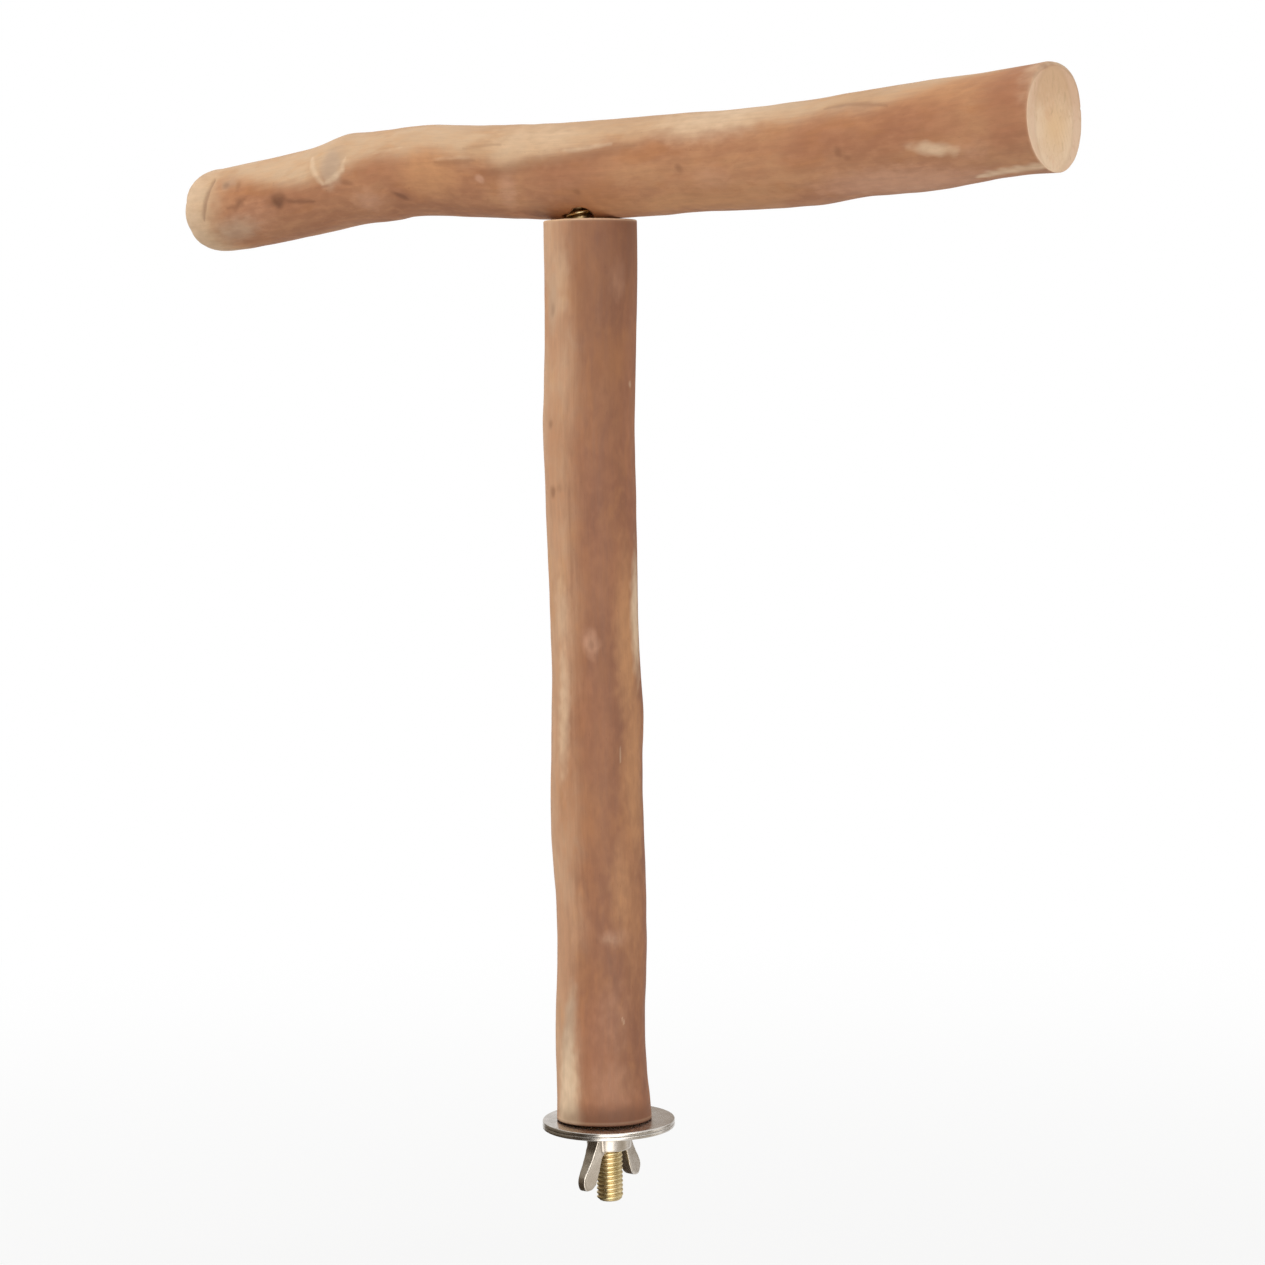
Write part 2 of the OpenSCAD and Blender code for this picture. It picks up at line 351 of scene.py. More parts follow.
class Skin:
    """Unrolled places on a branch, in mm along it and degrees round it."""

    def __init__(self, branch, along, angle):
        self.along = along / MM
        self.angle = angle
        self.degrees = np.degrees(angle)
        self.per_degree = branch.mean / MM * math.pi / 180
        self.grain = ripple(5, self.along, angle, length=3.2, lobes=22)

    def arm(self, place):
        """mm along and mm round from a place to every point, the short way round."""
        turn = (self.degrees - place[1] + 540) % 360 - 180
        return self.along - place[0], turn * self.per_degree

    def oval(self, place, size, tilt=0.0, softness=0.75):
        """1 inside an oval with these half sizes, fading out with a slightly ragged edge."""
        u, v = self.arm(place)
        slope = math.radians(tilt)
        u, v = u * math.cos(slope) + v * math.sin(slope), v * math.cos(slope) - u * math.sin(slope)
        ragged = 0.3 / max(min(size), 1.2)
        return soft_edge(np.hypot(u / size[0], v / size[1]) + ragged * self.grain, softness)

    def line(self, places, width, softness=0.9):
        """1 on a line through the places that thins towards both ends."""
        best = np.full(np.shape(self.along), 99.0)
        steps = len(places) - 1
        for k in range(steps):
            u, v = self.arm(places[k])
            du = places[k + 1][0] - places[k][0]
            dv = (places[k + 1][1] - places[k][1]) * self.per_degree
            share = np.clip((u * du + v * dv) / (du * du + dv * dv), 0, 1)
            gap = np.hypot(u - share * du, v - share * dv)
            whole = (k + share) / steps
            thin = width * (0.25 + 0.75 * np.sqrt(np.clip(4 * whole * (1 - whole), 0, 1)))
            best = np.minimum(best, gap / thin)
        return soft_edge(best + 0.22 * self.grain, softness)


print("one degree round the crossbar is", round(bar.mean / MM * math.pi / 180, 3), "mm")

# %% [markdown]
# ## What the photograph shows, mark by mark
# Angles on the crossbar run from 0 at its far side, over 90 on top and 180 facing
# front, to 270 underneath. On the post they run from +X round the post: 217 is the
# picture's left edge, 307 faces the camera. Each row gives the finish that shows, how
# strong it is and how far the wood is sunk there in mm. An oval then has a place, half
# sizes and a tilt. A line has a half width and the places that it runs through.
# A few dark marks are painted shade, and the lists say which.

# %% The crossbar's marks
BAR_OVALS = [
    ("cream", 0.50, 0.00, (3.0, 180), (9.0, 30.0), 0),
    ("grey", 0.42, 0.00, (2.0, 190), (9.0, 24.0), 0),
    ("grey", 0.60, 0.08, (19.5, 219), (7.0, 3.6), -6),
    ("pink", 0.40, 0.00, (26.0, 206), (8.0, 4.6), 0),
    ("red", 0.60, 0.00, (39.0, 191), (9.0, 3.6), 4),
    ("dark", 0.85, 0.22, (35.4, 192), (2.5, 1.7), 8),
    ("dark", 0.55, 0.14, (22.5, 186), (1.5, 0.8), -35),
    ("grey", 0.55, 0.08, (18.4, 154), (2.2, 1.5), 12),
    ("dark", 0.40, 0.05, (18.0, 155), (1.3, 0.8), 20),
    ("dark", 0.30, 0.04, (22.2, 159), (0.8, 1.1), 0),
    ("grey", 0.95, 0.16, (53.4, 166), (3.4, 4.6), 0),
    ("red", 0.55, 0.00, (68.4, 180), (9.0, 4.0), 4),
    ("red", 0.35, 0.00, (54.0, 196), (10.0, 3.0), 4),
    ("dark", 0.35, 0.06, (58.5, 190), (1.8, 0.6), 14),
    ("pink", 0.60, 0.00, (63.6, 216), (4.4, 3.0), 0),
    ("red", 0.60, 0.00, (74.5, 217), (4.8, 2.2), 20),
    ("dark", 0.62, 0.18, (73.0, 218), (2.1, 0.65), 26),
    ("pink", 0.90, 0.00, (98.1, 192), (1.3, 0.9), 0),
    ("pink", 0.55, 0.00, (105.3, 207), (2.6, 5.0), 20),
    ("dark", 0.30, 0.04, (109.0, 179), (9.0, 1.5), -10),
    ("red", 0.50, 0.00, (124.0, 184), (12.0, 3.6), -5),
    ("dark", 0.45, 0.12, (124.5, 211), (0.9, 0.8), 0),
    ("dark", 0.40, 0.10, (151.9, 191), (0.8, 0.7), 0),
    ("pink", 0.35, 0.00, (160.0, 206), (5.0, 3.4), 0),
    ("dark", 0.35, 0.08, (191.6, 193), (0.7, 1.0), 0),
    ("dark", 0.28, 0.06, (193.8, 201), (0.8, 0.6), 0),
    ("red", 0.45, 0.00, (186.0, 178), (14.0, 4.0), 3),
    ("cream", 0.62, 0.08, (214.0, 202.5), (5.6, 1.45), 12),
    ("pink", 0.40, 0.00, (222.5, 210), (4.6, 2.6), 0),
    ("red", 0.75, 0.00, (231.5, 165), (6.4, 9.0), 0),
    ("gold", 0.60, 0.00, (216.0, 130), (15.0, 5.0), -4),
    ("ochre", 0.50, 0.00, (211.5, 237), (9.0, 2.8), 0),
    ("pink", 0.85, 0.00, (204.0, 241), (18.0, 4.2), 3),
    ("gold", 0.50, 0.00, (150.0, 240), (26.0, 4.0), 0),
    ("cream", 0.55, 0.00, (236.4, 66), (3.6, 17.0), 0),
    ("cream", 0.35, 0.00, (112.0, 138), (14.0, 6.0), 0),
    ("cream", 0.55, 0.00, (158.0, 131), (15.0, 5.5), 0),
    ("gold", 0.70, 0.00, (83.5, 188), (9.0, 6.0), 0),
    ("red", 0.50, 0.00, (211.0, 172), (11.0, 5.5), 0),
    ("cream", 0.60, 0.00, (238.0, 45), (2.6, 14.0), 0),
    # The two dark ovals under the crossbar beside the joint are painted shadow, the first over a shallow
    # dent.
    ("dark", 0.50, 0.05, (110.2, 248), (3.0, 2.0), 0),
    ("dark", 0.22, 0.00, (112.5, 236), (4.5, 2.2), 0),
    ("ochre", 0.55, 0.00, (130.0, 226), (7.0, 5.0), 0),
    ("dark", 0.85, 0.22, (131.0, 42), (3.0, 2.2), 0),
    ("grey", 0.60, 0.08, (78.0, 20), (9.0, 3.0), 5),
    ("dark", 0.75, 0.20, (183.5, 320), (2.3, 1.7), 0),
    ("red", 0.55, 0.00, (160.0, 5), (22.0, 5.0), 2),
    ("pink", 0.60, 0.00, (205.0, 340), (7.0, 4.0), 0),
    ("cream", 0.60, 0.10, (96.0, 325), (9.0, 1.5), -4),
    ("dark", 0.70, 0.18, (54.0, 345), (1.8, 1.3), 0),
]
BAR_LINES = [
    ("dark", 0.46, 0.35, 0.62, [(12.6, 140), (12.0, 158), (11.2, 178), (10.2, 197)]),
    ("dark", 0.50, 0.12, 0.50, [(36.5, 193), (41.0, 198), (47.0, 206)]),
    ("dark", 0.34, 0.08, 0.34, [(18.6, 188), (22.0, 186), (25.4, 178)]),
    ("dark", 0.34, 0.08, 0.34, [(24.0, 180), (23.8, 186), (23.0, 190)]),
    ("cream", 0.60, -0.10, 0.85, [(46.0, 145), (47.8, 163), (49.4, 178), (51.0, 187)]),
    ("cream", 0.50, -0.08, 0.80, [(51.0, 187), (54.4, 182), (57.0, 173), (57.8, 158)]),
    ("cream", 0.35, -0.04, 0.50, [(66.0, 157), (70.0, 155), (75.0, 153)]),
    # The dark lines just below the cream ridges at 85 mm and below the sapwood's border from 102 to 141
    # mm are painted shadow under them, each over a shallow groove.
    ("cream", 0.30, -0.03, 0.55, [(84.3, 169), (90.0, 167), (96.0, 166)]),
    ("dark", 0.28, 0.06, 0.50, [(85.0, 173), (91.0, 171), (97.5, 169)]),
    ("dark", 0.24, 0.08, 0.40, [(93.0, 155), (98.0, 152), (104.0, 149)]),
    ("cream", 0.48, -0.06, 0.60, [(121.0, 161), (127.0, 160), (130.5, 158), (135.0, 156)]),
    ("dark", 0.26, 0.06, 1.50, [(102.0, 182), (112.0, 175), (120.0, 171), (131.0, 168), (141.0, 160)]),
    ("dark", 0.32, 0.08, 0.55, [(187.0, 137), (192.0, 136), (197.5, 140), (203.0, 147)]),
    ("cream", 0.60, 0.08, 1.50, [(220.0, 253), (229.0, 248), (240.0, 240)]),
    ("dark", 0.40, 0.12, 0.35, [(66.0, 60), (78.0, 63), (92.0, 58)]),
    ("dark", 0.45, 0.14, 0.35, [(150.0, 300), (166.0, 304), (178.0, 301)]),
    ("cream", 0.50, -0.08, 0.45, [(120.0, 20), (134.0, 27), (147.0, 24)]),
    ("dark", 0.50, 0.25, 0.35, [(206.0, 10), (220.0, 14), (237.0, 12)]),
]
print(len(BAR_OVALS) + len(BAR_LINES), "marks on the crossbar")

# %% The post's marks
POST_OVALS = [
    ("cream", 0.30, 0.03, (191.0, 270), (5.5, 2.4), 0),
    ("cream", 0.28, 0.04, (183.8, 272), (2.6, 1.7), 0),
    ("grey", 0.55, 0.05, (184.0, 253), (7.0, 1.9), 0),
    ("dark", 0.30, 0.05, (182.5, 254), (1.4, 0.7), 0),
    ("dark", 0.45, 0.10, (157.2, 252), (0.9, 0.7), 0),
    ("dark", 0.50, 0.10, (142.4, 254), (1.3, 0.8), 0),
    ("dark", 0.22, 0.05, (143.0, 268), (0.8, 0.7), 0),
    ("ochre", 0.35, 0.00, (150.0, 262), (16.0, 3.0), 0),
    ("cream", 0.35, 0.00, (116.0, 263), (9.0, 2.2), 0),
    ("ochre", 0.75, 0.00, (172.0, 332), (6.5, 4.6), 20),
    ("red", 0.40, 0.00, (150.0, 318), (15.0, 5.0), 4),
    ("red", 0.50, 0.00, (126.0, 325), (12.0, 5.0), 0),
    ("red", 0.45, 0.00, (92.0, 305), (16.0, 4.0), -3),
    ("dark", 0.40, 0.00, (195.0, 5), (11.0, 4.2), 0),
    ("red", 0.60, 0.00, (158.0, 12), (32.0, 3.4), 0),
    ("pink", 0.40, 0.00, (188.8, 345), (5.0, 2.6), 0),
    ("cream", 0.45, 0.05, (165.8, 10), (0.8, 0.6), 0),
    ("pink", 0.70, -0.08, (109.0, 302), (3.2, 1.9), -12),
    ("dark", 0.34, 0.14, (108.4, 303), (1.0, 0.55), 0),
    ("pink", 0.40, 0.00, (42.9, 323), (2.2, 3.8), 0),
    ("cream", 0.22, 0.00, (42.6, 322), (1.2, 2.4), 0),
    ("pink", 0.28, 0.00, (25.0, 324), (10.0, 4.6), 0),
    ("gold", 0.60, 0.00, (54.0, 336), (11.0, 2.8), 0),
    ("ochre", 0.45, 0.00, (72.0, 268), (14.0, 3.0), 0),
    ("red", 0.45, 0.00, (28.2, 271), (1.5, 0.9), 0),
    ("dark", 0.20, 0.05, (37.4, 318), (0.7, 0.5), 0),
    ("cream", 0.85, 0.08, (6.0, 255), (13.0, 3.2), 5),
    ("cream", 1.00, 0.00, (2.0, 254), (6.0, 3.8), 0),
    ("grey", 0.80, 0.03, (20.0, 260), (11.0, 1.9), 6),
    ("gold", 0.80, 0.00, (108.0, 352), (20.0, 3.2), 0),
    ("cream", 0.80, 0.05, (115.0, 17), (13.0, 2.4), 3),
    ("gold", 0.70, 0.00, (80.0, 0), (22.0, 3.6), 0),
    ("gold", 0.40, 0.00, (55.0, 350), (22.0, 3.4), 0),
    ("cream", 0.50, 0.00, (93.0, 262), (15.0, 1.9), 0),
    ("pink", 0.35, 0.00, (9.0, 320), (6.5, 6.0), 0),
    ("ochre", 0.30, 0.00, (60.0, 300), (16.0, 4.0), 0),
    ("dark", 0.68, 0.00, (2.2, 316), (2.4, 12.0), 0),
    ("red", 1.00, 0.00, (3.0, 318), (4.5, 13.0), 0),
    ("red", 0.75, 0.00, (16.0, 306), (14.0, 5.0), 0),
    # The next two dark ovals near the top are painted shadow of the crossbar, the first also on darker
    # wood.
    ("dark", 0.25, 0.00, (196.0, 350), (14.0, 5.0), 0),
    ("dark", 0.20, 0.00, (188.0, 325), (24.0, 9.0), 0),
    ("dark", 0.85, 0.22, (92.0, 65), (2.6, 1.8), 0),
    ("dark", 0.85, 0.24, (53.0, 150), (2.8, 2.0), 0),
    ("dark", 0.50, 0.14, (157.0, 206), (1.8, 1.3), 0),
    ("dark", 0.85, 0.22, (129.0, 90), (2.8, 2.2), 0),
    ("grey", 0.60, 0.06, (110.0, 120), (14.0, 3.2), 3),
    ("red", 0.55, 0.00, (150.0, 60), (20.0, 5.0), 0),
    ("pink", 0.60, 0.00, (35.0, 75), (9.0, 4.0), 0),
    ("ochre", 0.60, 0.00, (180.0, 130), (12.0, 4.4), 0),
]
POST_LINES = [
    ("cream", 0.50, -0.04, 0.28, [(82.0, 337), (85.8, 338)]),
    ("cream", 0.40, -0.04, 0.30, [(23.0, 339), (24.8, 335)]),
    ("ochre", 0.50, 0.00, 1.10, [(30.0, 280), (17.0, 289), (3.0, 292)]),
    ("dark", 0.22, 0.08, 0.32, [(186.0, 291), (196.0, 290), (201.0, 290)]),
    ("dark", 0.20, 0.06, 0.30, [(118.0, 281), (131.0, 279), (143.0, 281)]),
    ("dark", 0.45, 0.14, 0.35, [(60.0, 100), (80.0, 104), (97.0, 101)]),
    ("cream", 0.60, 0.10, 1.20, [(140.0, 170), (153.0, 174), (168.0, 172)]),
    ("dark", 0.50, 0.25, 0.35, [(188.0, 60), (195.0, 62), (201.8, 61)]),
]
print(len(POST_OVALS) + len(POST_LINES), "marks on the post")

# %% [markdown]
# ## Finishes and relief from the marks
# Two things come out of the lists. Each finish becomes a mask, a number from 0 to 1
# at every point of the skin, that the material reads later. The sinking becomes
# relief. Under the marks lies the branch's own surface: long shallow waves left by the
# peeling knife, finer ripples along the fibres, and faint fibres themselves.

# %% Masks of the marks
FINISHES = ("dark", "grey", "cream", "pink", "red", "ochre", "gold")


def paint_marks(skin, ovals, lines):
    """The masks of all finishes, and how far the marks sink the skin, in mm."""
    masks = {finish: np.zeros(np.shape(skin.along)) for finish in FINISHES}
    sunk = np.zeros(np.shape(skin.along))
    for finish, strength, depth, place, size, tilt in ovals:
        here = skin.oval(place, size, tilt)
        masks[finish] = np.maximum(masks[finish], strength * here)
        sunk += depth * here
    for finish, strength, depth, width, places in lines:
        here = skin.line(places, width)
        masks[finish] = np.maximum(masks[finish], strength * here)
        sunk += depth * here
    return masks, sunk


scar = Skin(bar, np.array([0.0534]), np.radians([166.0]))
scar_sunk = paint_marks(scar, BAR_OVALS, BAR_LINES)[1]
print("the healed scar sinks the crossbar by", scar_sunk.round(2), "mm")

# %% [markdown]
# The pale sapwood is no mark of its own: it is whatever the peeling knife reached. Its
# border wanders along each branch, so it is drawn as a few places in mm along and
# degrees round, and roughened with ripples between them. On the post the pale strip is
# partly painted light, on the side that faces the key lamp.

# %% Where the sapwood shows
BAR_BORDER = [
    (0, 300), (14, 148), (26, 156), (36, 176), (50, 180), (62, 167), (78, 162), (95, 169), (104, 179),
    (112, 173), (120, 168), (134, 156), (165, 148), (188, 147), (201, 147), (210, 134), (220, 116),
    (237, 92),
]
BAR_BACK = [(0, -40), (30, 20), (90, 34), (150, 48), (237, 66)]
POST_BORDER = [
    (0, 284), (9, 284), (20, 288), (30, 277), (45, 283), (60, 287), (75, 285), (90, 279), (105, 283),
    (118, 290), (144, 285), (157, 292), (170, 296), (180, 288), (202, 284),
]
POST_BACK = 178


def wandering(skin, border, seed, sway, length):
    """The degrees round the branch where a border runs, swaying between its places."""
    drawn = np.interp(skin.along, *zip(*border))
    return drawn + sway * ripple(seed, skin.along, skin.angle, length, lobes=5)


def bar_paleness(skin):
    """The top of the crossbar kept more of its pale sapwood, and its worn end is pale."""
    border = wandering(skin, BAR_BORDER, 21, 2.5, 12) - 2
    back = wandering(skin, BAR_BACK, 22, 8, 22)
    degrees = (skin.degrees + 90) % 360 - 90
    front = soft_edge(1 + (degrees - border) / 40, 0.62)
    worn = soft_edge(skin.along / 14 + 0.05 * skin.grain, 0.7)
    return np.maximum(front * soft_edge(1 + (back - degrees) / 40, 0.5), worn)


def post_sapwood_and_painted_light(skin):
    """A pale strip runs down the post, partly where it kept its sapwood and partly as painted light on
    the side that faces the key lamp.
    """
    border = wandering(skin, POST_BORDER, 31, 3, 16) - 5
    back = POST_BACK + 16 * ripple(32, skin.along, skin.angle, length=40, lobes=4)
    degrees = skin.degrees % 360
    edge = soft_edge(1 + (degrees - border) / 40, 0.80)
    return 0.9 * edge * soft_edge(1 + (back - degrees) / 40, 0.7)


def natural_relief(seed, skin):
    """Waves, ripples and fibres of a peeled branch, in mm, never above the frame."""
    waves = 0.11 * ripple(seed, skin.along, skin.angle, length=30, lobes=5)
    ripples = 0.035 * ripple(seed + 1, skin.along, skin.angle, length=7, lobes=16)
    fibres = 0.014 * ripple(seed + 2, skin.along, skin.angle, length=9, lobes=60, count=60)
    return np.minimum(waves + ripples + fibres - 0.13, 0.0)


sample = Skin(bar, np.linspace(0, bar.length, 9), np.full(9, math.pi))
print("paleness along the front of the crossbar", bar_paleness(sample).round(2))
print("its natural relief there, in mm", natural_relief(101, sample).round(2))

# %% [markdown]
# ## Building the branch mesh
# Blender's sculpt tools or a displacement modifier on a cylinder would both need the
# shape twice, once in the solid and once in the look. A grid of rows and sides built
# straight from the measured skin needs it once. Each row is a ring of points. The cut
# ends are more rings that shrink to a point, pushed in a little by the saw's teeth.

# %% Rings of points made into a mesh
def mesh_object(name, points, faces):
    """A smooth-shaded mesh object in the frame."""
    mesh = bpy.data.meshes.new(name)
    mesh.from_pydata(points.tolist(), [], faces)
    mesh.validate()
    mesh.shade_smooth()
    made = bpy.data.objects.new(name, mesh)
    bpy.context.scene.collection.objects.link(made)
    return made


def ring_faces(rows, sides, closed=False):
    """Quads between rings. The first and last ring are joined to each other if closed,
    and otherwise each has a fan to a single point of its own."""
    near = np.arange(sides)
    far = (near + 1) % sides
    faces = []
    for row in range(rows if closed else rows - 1):
        a = row * sides
        b = (row + 1) % rows * sides
        faces += np.stack([a + near, a + far, b + far, b + near], 1).tolist()
    if closed:
        return faces
    first, last = rows * sides, rows * sides + 1
    top = (rows - 1) * sides
    faces += [[first, b, a] for a, b in zip(near.tolist(), far.tolist())]
    faces += [[last, top + a, top + b] for a, b in zip(near.tolist(), far.tolist())]
    return faces


print("three rings of eight points make", len(ring_faces(3, 8)), "faces")

# %% [markdown]
# No two of the four ends are alike. The crossbar's worn end was rasped round, and its
# sawn end has lost its upper corner. The post's top is a little fuzzy, and its foot was
# sawn slightly out of square, so that its front stands off the washer and draws a dark
# line there, which painted shade in the crevice deepens. Rings are cheap, so they crowd
# together wherever an end is rounded.

# %% Rows of rings, saw marks and the foot
CAP_RINGS = 22
CORNER_RINGS = 9
SHOULDER_RINGS = 13
SAWN_ROUND = 0.30 * MM
SHOULDER = 2.6 * MM
FUZZ = 0.20 * MM
FUZZ_DEEP = 5 * MM
FOOT_GAP = 0.50 * MM
FOOT_WIDE = 12 * MM
FOOT_DEEP = 8 * MM
FOOT_FRONT = math.radians(307)


def end_rows(reach):
    """Distances from an end at which a rounded corner of this reach needs rings."""
    return reach * (1 - np.cos(np.radians(np.linspace(0, 90, CORNER_RINGS))))[:-1]


def skin_rows(branch, reach):
    """Where the rings lie along a branch whose first end is rounded over this reach."""
    middle = np.linspace(reach, branch.length - SHOULDER, int(branch.length / SKIN_STEP))[:-1]
    from_saw = SAWN_ROUND + (SHOULDER - SAWN_ROUND) * np.linspace(1, 0, SHOULDER_RINGS) ** 1.6
    last = np.concatenate([from_saw, end_rows(SAWN_ROUND)[::-1]])
    return np.concatenate([end_rows(reach), middle, branch.length - last])


def saw_cut(seed, across):
    """How far the saw's teeth sank an end face, in metres, from positions on it."""
    dice = np.random.default_rng(seed)
    slant = dice.uniform(0, math.pi)
    run = (across[..., 0] * math.cos(slant) + across[..., 1] * math.sin(slant)) / MM
    side = (across[..., 1] * math.cos(slant) - across[..., 0] * math.sin(slant)) / MM
    teeth = np.cos(run * 5.2 + 0.25 * side + 0.6 * np.sin(side * 0.4))
    coarse = np.cos(run * 1.3 + 1.0) * np.cos(side * 0.21 + 2.0)
    return (0.030 + 0.016 * teeth + 0.014 * coarse) * MM


def foot_lift(along, arms):
    """How far the post's foot, sawn a little out of square, rises towards its front."""
    toward = arms[..., 0] * math.cos(FOOT_FRONT) + arms[..., 1] * math.sin(FOOT_FRONT)
    return FOOT_GAP * np.clip(toward / FOOT_WIDE, 0, 1) * np.clip(1 - along / FOOT_DEEP, 0, 1)


print("the crossbar has", len(skin_rows(bar, WORN_END)), "rings along it, the post",
      len(skin_rows(post, SAWN_ROUND)))


# %% Build a branch
def build_branch(name, branch, relief, seed, fuzz=0.0, lift=None):
    """The whole skin of a branch, closed at both ends. fuzz lets the fibres at the last
    end stand up by so much, and lift tells how far the first end is out of square."""
    reach = branch.first_end if branch.worn else SAWN_ROUND
    along = skin_rows(branch, reach)
    draw_in = round_over(along, reach) + round_over(branch.length - along, SAWN_ROUND)
    shares = np.linspace(0, 1, CAP_RINGS + 1)[1:-1]
    caps = len(shares)
    rows = np.pad(along, caps, constant_values=(0.0, branch.length))
    draw_in = np.pad(draw_in, caps, mode="edge")[:, None]
    share = np.concatenate([shares, np.ones(len(along)), shares[::-1]])[:, None]
    angle = np.arange(SKIN_SIDES) * 2 * math.pi / SKIN_SIDES
    place, angle = np.meshgrid(rows, angle, indexing="ij")
    out = branch.radius(place, angle) + relief(place, angle) * MM
    out = (out - draw_in) * share
    arms = np.stack([out * np.cos(angle), out * np.sin(angle)], -1)
    inward = saw_cut(seed, arms) * np.clip((1 - share) * 8, 0, 1)
    moved = np.where(place < branch.length / 2, inward, -inward)
    moved = moved + fuzz * np.clip((place - branch.length) / FUZZ_DEEP + 1, 0, 1)
    if lift is not None:
        moved = moved + lift(place, arms)
    points = np.zeros((len(rows), SKIN_SIDES, 3))
    points[..., branch.axis] = branch.start + place + moved
    points[..., branch.across] = branch.centre(rows)[:, None, :] + arms
    ends = np.array([0.0, branch.length])
    depth = float(saw_cut(seed, np.zeros(2)))
    tips = np.zeros((2, 3))
    tips[:, branch.axis] = branch.start + ends + [depth, fuzz - depth]
    tips[:, branch.across] = branch.centre(ends)
    points = np.concatenate([points.reshape(-1, 3), tips])
    faces = ring_faces(len(rows), SKIN_SIDES)
    print(name, len(points), "points,", len(faces), "faces")
    return mesh_object(name, points, faces)


# %% [markdown]
# What the two branches don't share is their relief. Sculpting would tie it to one mesh,
# so it is a function of place and angle instead, in mm on top of the measured skin. It
# can then be added to any grid of points, and be faded out under the joint, where the
# measured solid has to stay as it is.

# %% The relief of each branch
RASPED = 7.2 * MM
JOINT_SEAT = ((119.0, 270), (12.0, 9.0))
WORN_CORNER = ((bar.length / MM, 52), (9.0, 15.0))


def sawn_section(along, angle):
    """Towards its sawn end the bar is wider across, and less deep, than the frame's."""
    near_end = np.exp(-((bar.length - along) / (16 * MM)) ** 2)
    corner = np.exp(-((np.degrees(angle) % 360 - 45) / 25) ** 2)
    up = np.sin(angle)
    wider = 0.8 * np.cos(angle) ** 2 + 0.5 * corner
    return near_end * (wider - 0.55 * np.clip(-up, 0, 1) ** 3 - 0.25 * np.clip(up, 0, 1) ** 6)


def bar_relief(along, angle):
    """Under the joint the bar keeps its measured skin. Its sawn end is worn on top, and
    its worn end is rounder than the frame's, with the flats that rasping left."""
    skin = Skin(bar, along, angle)
    relief = natural_relief(101, skin) - paint_marks(skin, BAR_OVALS, BAR_LINES)[1]
    relief = relief * (1 - skin.oval(*JOINT_SEAT, softness=0.4))
    shoulder = round_over(2 * (bar.length - along), SHOULDER) / MM
    worn = skin.oval(*WORN_CORNER, softness=0.6) * shoulder
    rounder = (round_over(along, RASPED) - round_over(along, WORN_END)) / MM
    flats = 0.5 * np.exp(-along / (4 * MM)) * (1 - np.abs(np.cos(3.5 * angle + 0.6 + skin.along / 9)))
    return relief - worn - rounder - flats + sawn_section(along, angle)


def post_relief(along, angle):
    """The post has only its own surface and its marks."""
    skin = Skin(post, along, angle)
    return natural_relief(201, skin) - paint_marks(skin, POST_OVALS, POST_LINES)[1]


crossbar_skin = build_branch("crossbar_branch", bar, bar_relief, 11)
post_skin = build_branch("post_branch", post, post_relief, 12, FUZZ, foot_lift)

# %% [markdown]
# ## Screw holes
# Both branches are drilled for the screws. The holes could be modelled into the rows,
# but a boolean cut is what a drill does: a turned cutter is taken out of the closed
# skin. Every cutter stands out a little beyond the wood, because a cut that ends exactly
# on a face may leave a film of it behind.

# %% Turned solids and boolean cuts
OVERRUN = 1.0 * MM
TURNED_SIDES = 64


def turned(name, profile, centre=(0.0, 0.0), sides=TURNED_SIDES, wobble=None, closed=False):
    """A solid of revolution about a vertical axis. profile is (radius, height) pairs
    from its first end to its last, or round a ring's section if closed, and wobble may
    change each point's radius."""
    profile = np.array(profile, float)
    angle = np.arange(sides) * 2 * math.pi / sides
    radius = np.repeat(profile[:, :1], sides, axis=1)
    height = np.repeat(profile[:, 1:], sides, axis=1)
    if wobble is not None:
        radius = radius + wobble(radius, height, angle[None, :])
    points = np.stack([
        centre[0] + radius * np.cos(angle),
        centre[1] + radius * np.sin(angle),
        height,
    ], -1).reshape(-1, 3)
    if not closed:
        tips = [(*centre, profile[0, 1]), (*centre, profile[-1, 1])]
        points = np.concatenate([points, tips])
    return mesh_object(name, points, ring_faces(len(profile), sides, closed))


def carve(piece, cutter, operation="DIFFERENCE"):
    """Applies one boolean cut and throws the cutter away."""
    cut = piece.modifiers.new("cut", "BOOLEAN")
    cut.object = cutter
    cut.operation = operation
    cut.solver = "EXACT"
    settled(piece)
    bpy.data.objects.remove(cutter)


def settled(piece):
    """Turns a piece's modifiers into its plain mesh."""
    shaped = piece.evaluated_get(bpy.context.evaluated_depsgraph_get())
    mesh = bpy.data.meshes.new_from_object(shaped)
    piece.modifiers.clear()
    piece.data = mesh
    return piece


print("a cutter has", TURNED_SIDES, "sides and overruns by", OVERRUN / MM, "mm")

# %% Where the screws sit
join_low, join_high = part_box("joining_screw")
bolt_low, bolt_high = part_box("hanger_bolt")
JOIN_AXIS = ((join_low.x + join_high.x) / 2, (join_low.y + join_high.y) / 2)
JOIN_R = (join_high.x - join_low.x) / 2
STUD_R = (bolt_high.x - bolt_low.x) / 2
POST_FOOT = post.start
POST_TOP = post.start + post.length
print("the joining screw is", round(2 * JOIN_R / MM, 2), "mm thick and stands at",
      tuple(round(c / MM, 2) for c in JOIN_AXIS), "mm")

# %% [markdown]
# The drill did more than cut holes. It tore a ragged mouth into the crossbar, and a chip
# broke out in front of the screw, which is why its thread can be seen at all. On the
# post's top it pushed the fibres up into a collar round the screw. The mouth and the
# chip are cut away like the holes, and the collar is a turned ring with a ragged upper
# edge, joined to the post by a boolean union.

